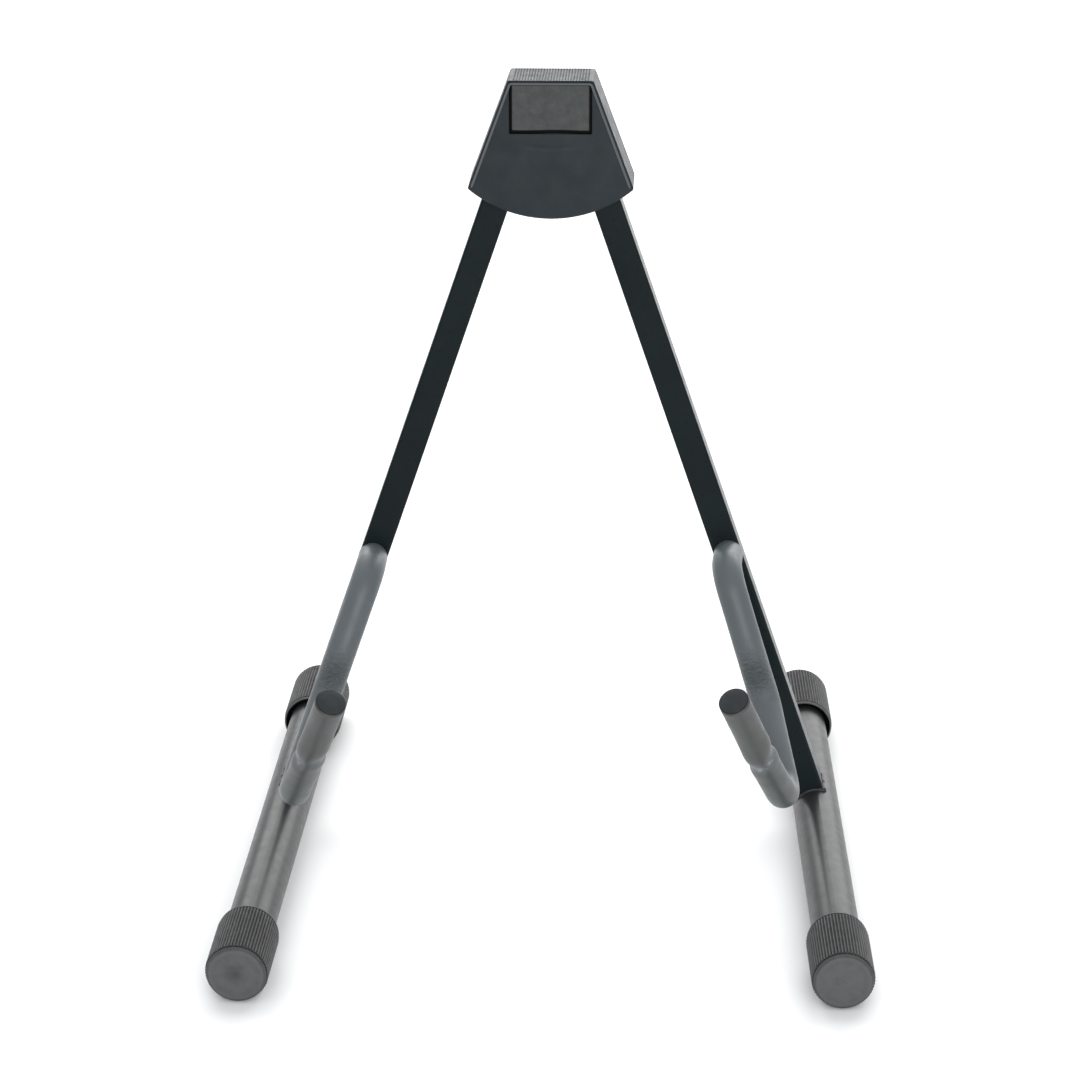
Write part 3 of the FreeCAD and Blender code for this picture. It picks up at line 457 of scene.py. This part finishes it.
def end_cap(side, end):
    """Ribbed rubber cap on one end of a foot tube, with a dished and dimpled end."""
    around = CAP_RIBS * 10
    node = f"{side}_{end}_cap"
    place = cap_place(side, end, node)
    dimple = CAP_DIMPLES[side, end]
    rings = cap_profile()
    vertices = []
    darkness = []
    for radius, height, ribs, dark in rings:
        for k in range(around):
            angle = 2 * pi * k / around
            groove = (0.5 + 0.5 * cos(CAP_RIBS * angle)) ** 0.8
            r = radius - ribs * 1.35 * CAP_RIB_DEPTH * groove
            drop, shade = 0.0, dark
            if height == CAP_DISC_HEIGHT:
                drop, shade = disc_relief(r, angle, dimple)
            vertices.append(place @ Vector((r * cos(angle), r * sin(angle), height - drop)))
            # Painted shade, near black, in the bottoms of the rib grooves.
            darkness.append(max(shade, ribs * groove))
    faces = ring_faces(len(rings), around)
    # The middle of the bore's floor, and the middle of the end, each with a faint extra dot of painted shade.
    middle_shade = 0.08
    drop, shade = disc_relief(0.0, 0.0, dimple)
    for height in (CAP_BORE_END, CAP_DISC_HEIGHT - drop):
        vertices.append(place @ Vector((0, 0, height)))
        darkness.append(shade + middle_shade)
    last_ring = (len(rings) - 1) * around
    floor_point = len(vertices) - 2
    for k in range(around):
        faces.append((floor_point, (k + 1) % around, k))
        faces.append((floor_point + 1, last_ring + k, last_ring + (k + 1) % around))
    piece = mesh_piece(f"{side}_{end}_foot_cap", vertices, faces, side + "_leg", "cap_rubber")
    # Painted shade: near black in the rib grooves, the bore and the collar's groove, darker in the dimple and
    # round the end's rim.
    mark(piece, GROOVE_SHADE, darkness)
    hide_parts(node)
    return piece


# --- head ---
def head_point(x, depth, height):
    """World position from the head's own frame: across, back from the pivot plane, up."""
    origin = Vector((0, FOOT_JOINT.y, FOOT_JOINT.z))
    return origin + ACROSS * x - FORWARD * depth + UP_HEAD * height


def leaning_size(node):
    """Height along the head and thickness of a flat node that leans with the head."""
    low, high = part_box(node)
    upright, slope = UP_HEAD.z, FORWARD.z
    box_height, box_depth = high.z - low.z, high.y - low.y
    spread = upright ** 2 - slope ** 2
    return (
        (box_height * upright - box_depth * slope) / spread,
        (box_depth * upright - box_height * slope) / spread)


def pad_point(u, v, width, height):
    """Place on the pad of a grid point from -1 to 1 each way, and how far inside the outline it is."""
    corner_r = 0.9 * MM
    x, z = u * width / 2, v * height / 2
    inner_x = max(abs(x) - (width / 2 - corner_r), 0)
    inner_z = max(abs(z) - (height / 2 - corner_r), 0)
    if inner_x and inner_z:
        pull = 1 - max(inner_x, inner_z) / sqrt(inner_x ** 2 + inner_z ** 2)
        x -= inner_x * pull * (1 if x > 0 else -1)
        z -= inner_z * pull * (1 if z > 0 else -1)
    edge = min(width / 2 - abs(x), height / 2 - abs(z))
    # A hand-cut outline is never quite straight.
    wave = 0.18 * MM * smoothstep(6 * MM, 0, edge)
    z += wave * sin(x / (5.5 * MM) + 1.0) * (1 if z < 0 else 0.4)
    return x, z, edge


def crowded(k, count):
    """Grid lines that crowd towards the edges, from -1 to 1."""
    t = 2 * k / count - 1
    return sin(t * pi / 2) * 0.35 + t * 0.65


def pad_face(width, height, thick, columns, rows):
    """Grid of (across, out, up) points of the pad's soft-edged, slightly crowned and uneven face."""
    edge_r = 0.7 * MM
    crown_height = 0.25 * MM
    face = []
    for j in range(rows):
        for i in range(columns):
            x, z, edge = pad_point(crowded(i, columns - 1), crowded(j, rows - 1), width, height)
            roll = min(max(edge, 0), edge_r)
            y = thick / 2 - crown_height - edge_r + sqrt(edge_r ** 2 - (edge_r - roll) ** 2)
            crown = (1 - (x / width * 2) ** 2) * (1 - (z / height * 2) ** 2)
            uneven = noise.noise(Vector((x, z, 0)) * 160) * 0.07 * MM
            y += (crown_height * crown + uneven) * smoothstep(0, 3 * MM, edge)
            face.append((x, y, z))
    return face


def grid_faces(columns, rows):
    """Quads of a grid of points."""
    faces = []
    for j in range(rows - 1):
        for i in range(columns - 1):
            a = j * columns + i
            faces.append((a, a + 1, a + 1 + columns, a + columns))
    return faces


def grid_outline(columns, rows):
    """Indices of the points round the edge of a grid."""
    outline = list(range(columns))
    outline += [j * columns + columns - 1 for j in range(1, rows)]
    outline += [(rows - 1) * columns + i for i in range(columns - 2, -1, -1)]
    outline += [j * columns for j in range(rows - 2, 0, -1)]
    return outline


def head_pad():
    """Firm rubber pad: its face, and a flange behind it that fills the recess, black with painted shade in the gap
    round the pad.
    """
    low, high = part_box("head_pad")
    full_height, thick = leaning_size("head_pad")
    width = high.x - low.x - 1.2 * MM
    height = full_height - 1.4 * MM
    middle = (low + high) / 2 + UP_HEAD * 0.5 * MM
    columns, rows = 85, 53
    face = pad_face(width, height, thick, columns, rows)
    faces = grid_faces(columns, rows)
    outline = grid_outline(columns, rows)
    points = list(face)
    darkness = [0.0] * len(face)
    flange_top = -thick / 2 + 0.3 * MM
    # Height over the flange, share of the way out to its edge, and painted shade.
    skirt = ((0.25 * MM, 0.0, 0.7), (0.0, 0.0, 1.0), (0.0, 1.0, 1.0), (-0.3 * MM, 1.0, 1.0))
    previous = outline
    for rise, out, dark in skirt:
        start = len(points)
        for index in outline:
            x, y, z = face[index]
            wide = x * (width + 2.9 * MM) / width
            tall = z * (height + 3.1 * MM) / height - 0.5 * MM
            points.append((x + (wide - x) * out, flange_top + rise, z + (tall - z) * out))
            darkness.append(dark)
        ring = [start + k for k in range(len(outline))]
        for k in range(len(outline)):
            n = (k + 1) % len(outline)
            faces.append((previous[n], previous[k], ring[k], ring[n]))
        previous = ring
    faces.append(tuple(previous))
    vertices = [middle + ACROSS * x + FORWARD * y + UP_HEAD * z for x, y, z in points]
    piece = mesh_piece("head_rest_pad", vertices, faces, "head", "pad_rubber")
    # The skirt and the flange are black with painted shade, for the gap round the pad.
    mark(piece, GROOVE_SHADE, darkness)
    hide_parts("head_pad")
    return piece


def head_bead():
    """Thin moulded bead that follows the top and the sides of the head's face."""
    inset = 1.7 * MM
    corner_r = 1.2 * MM
    half_width = 0.55 * MM
    around = 10
    slope = (HEAD_CORNER_HALF - HEAD_TOP_HALF) / (HEAD_TOP - HEAD_CORNER)
    side_inset = inset * sqrt(1 + slope ** 2)
    low_z = HEAD_CORNER + 0.6 * MM
    high_z = HEAD_TOP - inset
    low_x = HEAD_TOP_HALF + (HEAD_TOP - low_z) * slope - side_inset
    high_x = HEAD_TOP_HALF + (HEAD_TOP - high_z) * slope - side_inset
    corners = [(-low_x, low_z), (-high_x, high_z), (high_x, high_z), (low_x, low_z)]
    line = bent_line(corners, (corner_r, corner_r), 0.5 * MM)
    vertices = []
    for index, point in enumerate(line):
        ahead = (line[min(index + 1, len(line) - 1)] - line[max(index - 1, 0)]).normalized()
        outward = Vector((-ahead.y, ahead.x))
        # The bead tapers away over its first and last three points.
        from_end = min(index, len(line) - 1 - index)
        size = half_width * sqrt(min(1.0, (from_end + 0.2) / 3))
        for k in range(around):
            angle = 2 * pi * k / around
            spot = point + outward * (size * 1.15 * cos(angle))
            vertices.append(head_point(spot.x, HEAD_FRONT - size * 0.75 * sin(angle), spot.y))
    faces = ring_faces(len(line), around)
    faces.append(tuple(range(around)))
    faces.append(tuple(range(len(vertices) - 1, len(vertices) - 1 - around, -1)))
    piece = mesh_piece("head_face_bead", vertices, faces, "head", "head_plastic")
    # The whole bead is painted paler: a painted highlight where its rounded edge catches the light.
    mark(piece, BEAD_HIGHLIGHT, [1.0] * len(vertices))
    return piece


# --- weld beads ---
def rounded_outline(half_x, half_y, corner_r, count):
    """Points round a rounded rectangle, evenly spaced."""
    corner_steps = 8
    corners = []
    for quarter, (sx, sy) in enumerate(((1, 1), (-1, 1), (-1, -1), (1, -1))):
        centre = Vector((sx * (half_x - corner_r), sy * (half_y - corner_r)))
        for k in range(corner_steps + 1):
            angle = pi / 2 * (quarter + k / corner_steps)
            corners.append(centre + corner_r * Vector((cos(angle), sin(angle))))
    corners.append(corners[0].copy())
    length = sum((b - a).length for a, b in zip(corners, corners[1:]))
    return resampled(corners, length / count)[:-1]


def weld_line(count):
    """Points where the sides of the leg meet the foot tube, in the leg's own frame."""
    proud = 0.2 * MM
    outline = rounded_outline(
        LEG_HALF_WIDTH + proud, LEG_HALF_DEPTH + proud, LEG_CORNER_R + 2 * proud, count)
    tube_axis = LEG_FRAME.to_3x3().transposed() @ FOOT_BACK
    # Seen along the tube, how fast a point that climbs the leg leaves the tube's middle.
    rise = Vector((0, 0, 1)) - tube_axis * tube_axis.z
    a = rise.length_squared
    line = []
    for x, y in outline:
        flat = Vector((x, y, 0))
        flat -= tube_axis * flat.dot(tube_axis)
        b = flat.dot(rise)
        c = flat.length_squared - (TUBE_R + 0.1 * MM) ** 2
        line.append(Vector((x, y, (-b + sqrt(max(0.0, b * b - a * c))) / a)))
    return line


def foot_weld(side):
    """Rippled bead round the lower end of the leg, on the foot tube."""
    count = 220
    around = 14
    ripples = 38
    place = sided(LEG_FRAME, side)
    # A blob of spatter sits on the front corner of the right leg's bead.
    spatter = (1.0 if side == "right" else 0.0) * MM
    line = weld_line(count)
    vertices = []
    for k, centre in enumerate(line):
        ahead = (line[(k + 1) % count] - line[k - 1]).normalized()
        outward = Vector((centre.x, centre.y, 0)).normalized()
        upward = ahead.cross(outward).normalized()
        ripple = (k * ripples / count) % 1.0
        radius = (0.68 + 0.4 * ripple ** 0.6 * (1 - ripple) ** 0.4) * MM
        radius += 0.25 * MM * noise.noise(centre * 420)
        front_corner = Vector((LEG_HALF_WIDTH, -LEG_HALF_DEPTH, centre.z))
        radius += spatter * bump_shape((centre - front_corner).length, 0, 2.2 * MM)
        for m in range(around):
            angle = 2 * pi * m / around
            spot = centre + radius * (outward * cos(angle) + upward * sin(angle))
            spot += jitter(spot, 1.1 * MM, 0.12 * MM)
            vertices.append(place @ spot)
    faces = ring_faces(count, around, closed=True)
    return mesh_piece(side + "_foot_weld", vertices, faces, side + "_leg", "tube_enamel")


# --- materials ---
NOISE_LOW, NOISE_HIGH = 0.3, 0.7      # nearly all of a noise texture lies between these


class Finish:
    """A principled material, with short ways to add procedural detail to it."""

    def __init__(self, name, **constants):
        self.material = bpy.data.materials.new(name)
        self.material.use_nodes = True
        self.tree = self.material.node_tree
        self.shader = self.tree.nodes["Principled BSDF"]
        self.place = self.tree.nodes.new("ShaderNodeTexCoord").outputs["Object"]
        self.last_bump = None
        for socket, value in constants.items():
            self.shader.inputs[socket.replace("_", " ")].default_value = value

    def link(self, output, target):
        self.tree.links.new(output, target)

    def stretched(self, scale):
        """Coordinates scaled unevenly, for grain that runs one way."""
        mapping = self.tree.nodes.new("ShaderNodeMapping")
        mapping.inputs["Scale"].default_value = scale
        self.link(self.place, mapping.inputs["Vector"])
        return mapping.outputs["Vector"]

    def noise(self, size, detail=2.0, rough=0.5, place=None):
        """Noise whose blobs are about size metres across."""
        node = self.tree.nodes.new("ShaderNodeTexNoise")
        node.inputs["Scale"].default_value = 1 / size
        node.inputs["Detail"].default_value = detail
        node.inputs["Roughness"].default_value = rough
        self.link(place or self.place, node.inputs["Vector"])
        return node.outputs["Fac"]

    def cells(self, size):
        """Grains about size metres across."""
        node = self.tree.nodes.new("ShaderNodeTexVoronoi")
        node.inputs["Scale"].default_value = 1 / size
        self.link(self.place, node.inputs["Vector"])
        return node.outputs["Distance"]

    def attribute(self, name):
        """A value that the mesh holds for each vertex, or 0 on a mesh without it."""
        node = self.tree.nodes.new("ShaderNodeAttribute")
        node.attribute_name = name
        return node.outputs["Fac"]

    def axis(self, name):
        """One of the coordinates, in metres."""
        node = self.tree.nodes.new("ShaderNodeSeparateXYZ")
        self.link(self.place, node.inputs["Vector"])
        return node.outputs[name]

    def combined(self, operation, *values):
        """Sum, product and so on of node outputs and plain numbers."""
        node = self.tree.nodes.new("ShaderNodeMath")
        node.operation = operation
        for socket, value in zip(node.inputs, values):
            if isinstance(value, float):
                socket.default_value = value
            else:
                self.link(value, socket)
        return node.outputs["Value"]

    def ranged(self, value, from_low, from_high, to_low, to_high):
        """The value moved from one range to another, and held within it."""
        node = self.tree.nodes.new("ShaderNodeMapRange")
        limits = (from_low, from_high, to_low, to_high)
        for socket, number in zip(("From Min", "From Max", "To Min", "To Max"), limits):
            node.inputs[socket].default_value = number
        self.link(value, node.inputs["Value"])
        return node.outputs["Result"]

    def spread(self, cloud, low, high):
        """Noise brought to a range of its own."""
        return self.ranged(cloud, NOISE_LOW, NOISE_HIGH, low, high)

    def colour(self, value, stops):
        """Base colour from a value, by (position, colour) stops."""
        ramp = self.tree.nodes.new("ShaderNodeValToRGB")
        elements = ramp.color_ramp.elements
        while len(elements) < len(stops):
            elements.new(0.5)
        for element, (position, colour) in zip(elements, stops):
            element.position = position
            element.color = (*colour, 1)
        self.link(value, ramp.inputs["Fac"])
        self.link(ramp.outputs["Color"], self.shader.inputs["Base Color"])

    def clouded(self, cloud, dark, light):
        """Base colour that drifts between two tones with noise."""
        self.colour(cloud, [(NOISE_LOW, dark), (NOISE_HIGH, light)])

    def roughness(self, cloud, low, high):
        """Roughness that drifts between two values with noise."""
        self.link(self.spread(cloud, low, high), self.shader.inputs["Roughness"])

    def bump(self, value, depth, strength=1.0):
        """Adds relief of a depth in metres, on top of any before it."""
        node = self.tree.nodes.new("ShaderNodeBump")
        node.inputs["Strength"].default_value = strength
        node.inputs["Distance"].default_value = depth
        self.link(value, node.inputs["Height"])
        if self.last_bump:
            self.link(self.last_bump, node.inputs["Normal"])
        self.last_bump = node.outputs["Normal"]
        self.link(self.last_bump, self.shader.inputs["Normal"])


def head_plastic():
    """Moulded blue-black plastic, cloudy, with a painted highlight on the bead round its face."""
    finish = Finish("head_plastic", Specular_IOR_Level=0.26)
    cloud = finish.spread(finish.noise(20 * MM, 4.0, 0.6), 0.0, 0.3)
    # The bead's painted highlight is added to the cloudy tone; the top stop is its pale colour.
    shade = finish.combined("ADD", cloud, finish.attribute(BEAD_HIGHLIGHT))
    finish.colour(shade, [
        (0.0, (0.0045, 0.0090, 0.0130)),
        (0.3, (0.0130, 0.0190, 0.0235)),
        (1.0, (0.085, 0.093, 0.098))])
    finish.roughness(finish.noise(7 * MM, 3.0), 0.40, 0.52)
    finish.bump(finish.noise(0.38 * MM, 2.0), 0.02 * MM, 0.5)
    finish.bump(finish.noise(22 * MM, 1.0), 0.12 * MM, 0.5)
    finish.bump(sink_line(finish), 0.20 * MM, 0.8)
    return finish.material


def sink_line(finish):
    """Height of the face along a faint smile-shaped mould mark below the pad: 0 in it, 1 elsewhere."""
    lowest = 0.3815
    sag, sag_reach = 3.0 * MM, 20 * MM
    half_width = 1.8 * MM
    fades_from, fades_to = 8 * MM, 21 * MM
    face_y, back_y = 0.075, 0.085
    x = finish.axis("X")
    lift = finish.ranged(finish.combined("MULTIPLY", x, x), 0.0, sag_reach ** 2, 0.0, sag)
    off = finish.combined("SUBTRACT", finish.combined("SUBTRACT", finish.axis("Z"), lift), lowest)
    depth = finish.ranged(finish.combined("ABSOLUTE", off), 0.0, half_width, 1.0, 0.0)
    sides = finish.ranged(finish.combined("ABSOLUTE", x), fades_from, fades_to, 1.0, 0.0)
    front = finish.ranged(finish.axis("Y"), face_y, back_y, 1.0, 0.0)
    line = finish.combined("MULTIPLY", finish.combined("MULTIPLY", depth, sides), front)
    return finish.combined("SUBTRACT", 1.0, line)


def pad_rubber():
    """Dull, speckled grey rubber with a fine grain, and painted shade that turns its flange in the surrounding gap
    black.
    """
    finish = Finish("pad_rubber", Specular_IOR_Level=0.25)
    speckle = finish.spread(finish.noise(6 * MM, 6.0, 0.75), 0.0, 0.25)
    shade = finish.combined("ADD", speckle, finish.attribute(GROOVE_SHADE))
    finish.colour(shade, [
        (0.0, (0.066, 0.070, 0.069)),
        (0.25, (0.040, 0.044, 0.043)),
        (0.8, (0.003, 0.003, 0.003))])
    finish.roughness(finish.noise(5 * MM, 3.0), 0.62, 0.78)
    finish.bump(finish.cells(0.55 * MM), 0.05 * MM, 0.4)
    finish.bump(finish.noise(6 * MM, 2.0), 0.15 * MM, 0.5)
    return finish.material


def powder_coat():
    """Satin black coat of the legs, with a faint orange peel."""
    finish = Finish("powder_coat", Specular_IOR_Level=0.13)
    finish.clouded(finish.noise(30 * MM, 3.0), (0.0030, 0.0072, 0.0085), (0.0055, 0.0105, 0.0120))
    finish.roughness(finish.noise(4 * MM, 4.0), 0.26, 0.36)
    finish.bump(finish.noise(1.1 * MM, 3.0), 0.035 * MM, 0.35)
    return finish.material


def tube_enamel():
    """Glossier dark grey enamel of the foot tubes and welds."""
    finish = Finish("tube_enamel", Specular_IOR_Level=0.42)
    finish.clouded(finish.noise(18 * MM, 4.0), (0.0150, 0.0155, 0.0165), (0.0200, 0.0205, 0.0215))
    finish.roughness(finish.noise(5 * MM, 4.0, 0.6), 0.31, 0.41)
    finish.bump(finish.noise(2.2 * MM, 3.0), 0.03 * MM, 0.25)
    return finish.material


def cap_rubber():
    """Blotched grey rubber, with painted shade that makes it nearly black between the ribs."""
    finish = Finish("cap_rubber", Specular_IOR_Level=0.3)
    cloud = finish.noise(4 * MM, 6.0, 0.6)
    shade = finish.attribute(GROOVE_SHADE)
    # The groove value is painted shade; the noise adds a blotched tone.
    blotched = finish.combined("ADD", shade, finish.spread(cloud, -0.08, 0.08))
    finish.colour(blotched, [(0.0, (0.086, 0.087, 0.089)), (0.75, (0.005, 0.005, 0.0055))])
    finish.roughness(finish.noise(3 * MM, 4.0), 0.50, 0.66)
    finish.bump(finish.noise(0.25 * MM, 3.0), 0.02 * MM, 0.6)
    return finish.material


def sleeve_pvc():
    """Soft mottled grey tube: bluer near the leg, darker towards the tip as painted shade, with a whitish painted
    highlight below its kink, wrinkled in its bend.
    """
    finish = Finish("sleeve_pvc", Specular_IOR_Level=0.5)
    tip_y, leg_y = -0.125, -0.045
    mottle = finish.spread(finish.noise(16 * MM, 4.0, 0.6), 0.0, 0.16)
    # Darker and greener towards the tip: the darkening is painted shade, against the floor's light that lands on
    # the tip.
    shade = finish.combined("ADD", finish.ranged(finish.axis("Y"), tip_y, leg_y, 0.0, 0.6), mottle)
    # Pale noisy patches in the band below the kink: a painted highlight.
    patches = finish.ranged(finish.noise(7 * MM, 2.0), 0.35, 0.65, 0.15, 0.85)
    paler = finish.combined(
        "ADD", shade, finish.combined("MULTIPLY", patches, finish.attribute(KINK_HIGHLIGHT)))
    finish.colour(paler, [
        (0.0, (0.046, 0.050, 0.046)),
        (0.6, (0.074, 0.087, 0.094)),
        (0.76, (0.082, 0.096, 0.103)),
        (1.0, (0.185, 0.196, 0.184))])
    finish.roughness(finish.noise(9 * MM, 3.0), 0.38, 0.50)
    finish.bump(finish.noise(0.7 * MM, 3.0), 0.02 * MM, 0.5)
    finish.bump(finish.noise(12 * MM, 1.0), 0.10 * MM, 0.25)
    across = finish.noise(1.1 * MM, 3.0, 0.6, finish.stretched((0.25, 0.7, 1.0)))
    finish.bump(finish.combined("MULTIPLY", across, finish.attribute(CREASE)), 3.5 * MM, 1.0)
    return finish.material


def plug_plastic():
    """Smooth dark plastic, with painted shade that makes it black in its neck and round its rim."""
    finish = Finish("plug_plastic", Specular_IOR_Level=0.3)
    cloud = finish.spread(finish.noise(5 * MM, 4.0), 0.0, 0.3)
    shade = finish.combined("ADD", cloud, finish.attribute(GROOVE_SHADE))
    finish.colour(shade, [
        (0.0, (0.026, 0.029, 0.031)),
        (0.3, (0.017, 0.020, 0.022)),
        (0.9, (0.002, 0.002, 0.002))])
    finish.roughness(finish.noise(2 * MM, 3.0), 0.34, 0.46)
    finish.bump(finish.noise(0.3 * MM, 2.0), 0.012 * MM, 0.4)
    return finish.material


def metal(name, dark, light, rough_low, rough_high, grain, grain_depth):
    """Plated or bare steel with fine drawn grain."""
    finish = Finish(name, Metallic=1.0)
    streaks = finish.noise(0.4 * MM, 4.0, 0.6, finish.stretched(grain))
    finish.clouded(streaks, dark, light)
    finish.roughness(finish.noise(1.5 * MM, 4.0), rough_low, rough_high)
    finish.bump(streaks, grain_depth, 0.4)
    return finish.material


def black_steel():
    """Blackened bolts and screws."""
    finish = Finish("black_steel", Metallic=0.6, Specular_IOR_Level=0.5)
    finish.clouded(finish.noise(1.2 * MM, 4.0), (0.020, 0.020, 0.021), (0.036, 0.035, 0.036))
    finish.roughness(finish.noise(0.8 * MM, 3.0), 0.30, 0.45)
    finish.bump(finish.noise(0.2 * MM, 2.0), 0.008 * MM, 0.4)
    return finish.material


def nylon():
    """Milky nylon of the bushes."""
    finish = Finish("nylon", Specular_IOR_Level=0.5, Subsurface_Weight=0.1)
    finish.clouded(finish.noise(3 * MM, 3.0), (0.66, 0.65, 0.60), (0.76, 0.75, 0.71))
    finish.roughness(finish.noise(1 * MM, 3.0), 0.35, 0.5)
    finish.bump(finish.noise(0.3 * MM, 2.0), 0.01 * MM, 0.4)
    return finish.material


def paint(finishes, added):
    """Every CAD node and new piece takes the finish of its material slot."""
    slots = {part["node"]: part["material_slot"] for part in frame["record"]["subparts"]}
    for node, slot in slots.items():
        NODES[node].data.materials.clear()
        NODES[node].data.materials.append(finishes[slot])
    for piece in added:
        piece.data.materials.append(finishes[piece["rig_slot"]])


# --- studio ---
def floor():
    """Wide white floor that fills the background."""
    half = 14.0
    mesh = bpy.data.meshes.new("floor")
    corners = [(-half, -half, 0), (half, -half, 0), (half, half, 0), (-half, half, 0)]
    mesh.from_pydata(corners, [], [(0, 1, 2, 3)])
    plane = bpy.data.objects.new("floor", mesh)
    bpy.context.scene.collection.objects.link(plane)
    finish = Finish("floor_white", Specular_IOR_Level=0.1, Roughness=0.9)
    finish.clouded(finish.noise(0.9, 2.0), (0.86, 0.86, 0.86), (0.88, 0.88, 0.88))
    mesh.materials.append(finish.material)


def softbox(name, centre, target, size, power, mirrored=True):
    """Soft rectangular light of a power in watts; mirrored is whether reflections show it."""
    light = bpy.data.lights.new(name, "AREA")
    light.shape = "RECTANGLE"
    light.size, light.size_y = size
    light.energy = power
    lamp = bpy.data.objects.new(name, light)
    lamp.location = centre
    lamp.rotation_euler = (Vector(target) - Vector(centre)).to_track_quat("-Z", "Y").to_euler()
    lamp.visible_camera = False
    lamp.visible_glossy = mirrored
    bpy.context.scene.collection.objects.link(lamp)


def studio():
    """White floor and surroundings, and three soft lights that face the stand's middle."""
    floor()
    world = bpy.data.worlds.new("studio")
    world.use_nodes = True
    background = world.node_tree.nodes["Background"]
    background.inputs["Color"].default_value = (0.97, 0.985, 1.0, 1)
    background.inputs["Strength"].default_value = 0.76
    bpy.context.scene.world = world
    middle = (0, 0, 0.2)
    softbox("top_softbox", (0, 1.5, 2.3), middle, (3.4, 2.0), 58, mirrored=False)
    softbox("back_softbox", (0.4, 3.2, 1.3), middle, (4.0, 2.0), 66)
    softbox("front_softbox", (0.5, -2.7, 1.5), middle, (2.4, 1.8), 42)


def camera():
    """Viewpoint in front, slightly to the right and well above, with a long lens."""
    lens_mm = 141.46
    sensor_mm = 36.0
    place = Vector((0.073756, -2.056175, 1.079308))
    down_tilt = 0.409811
    yaw = 0.0380386
    roll = 0.0068083
    forward = Vector((-sin(yaw) * cos(down_tilt), cos(yaw) * cos(down_tilt), -sin(down_tilt)))
    right = Vector((cos(yaw), sin(yaw), 0))
    down = forward.cross(right)
    turned_right = right * cos(roll) + down * sin(roll)
    turned_down = -right * sin(roll) + down * cos(roll)
    data = bpy.data.cameras.new("camera")
    data.lens = lens_mm
    data.sensor_width = sensor_mm
    data.clip_end = 100
    eye = bpy.data.objects.new("camera", data)
    bpy.context.scene.collection.objects.link(eye)
    eye.matrix_world = frame_matrix(turned_right, -turned_down, -forward, place)
    bpy.context.scene.camera = eye


camera()
studio()
bpy.context.scene.view_settings.view_transform = "Standard"

new_pieces = [head_pad(), head_bead()]
for side in SIDES:
    new_pieces += [support_sleeve(side), tip_plug(side), foot_weld(side)]
new_pieces += [end_cap(side, end) for side, end in CAP_DIMPLES]

paint({
    "head_plastic": head_plastic(),
    "pad_rubber": pad_rubber(),
    "powder_coat": powder_coat(),
    "tube_enamel": tube_enamel(),
    "cap_rubber": cap_rubber(),
    "sleeve_pvc": sleeve_pvc(),
    "plug_plastic": plug_plastic(),
    "rod_steel": metal(
        "rod_steel", (0.36, 0.36, 0.36), (0.48, 0.48, 0.48), 0.28, 0.4, (1, 1, 0.1), 0.01 * MM),
    "zinc_steel": metal(
        "zinc_steel", (0.52, 0.53, 0.54), (0.64, 0.64, 0.62), 0.26, 0.42, (1, 1, 1), 0.012 * MM),
    "black_steel": black_steel(),
    "spring_steel": metal(
        "spring_steel", (0.40, 0.40, 0.42), (0.55, 0.55, 0.57), 0.2, 0.32, (1, 1, 1), 0.008 * MM),
    "nylon": nylon()}, new_pieces)
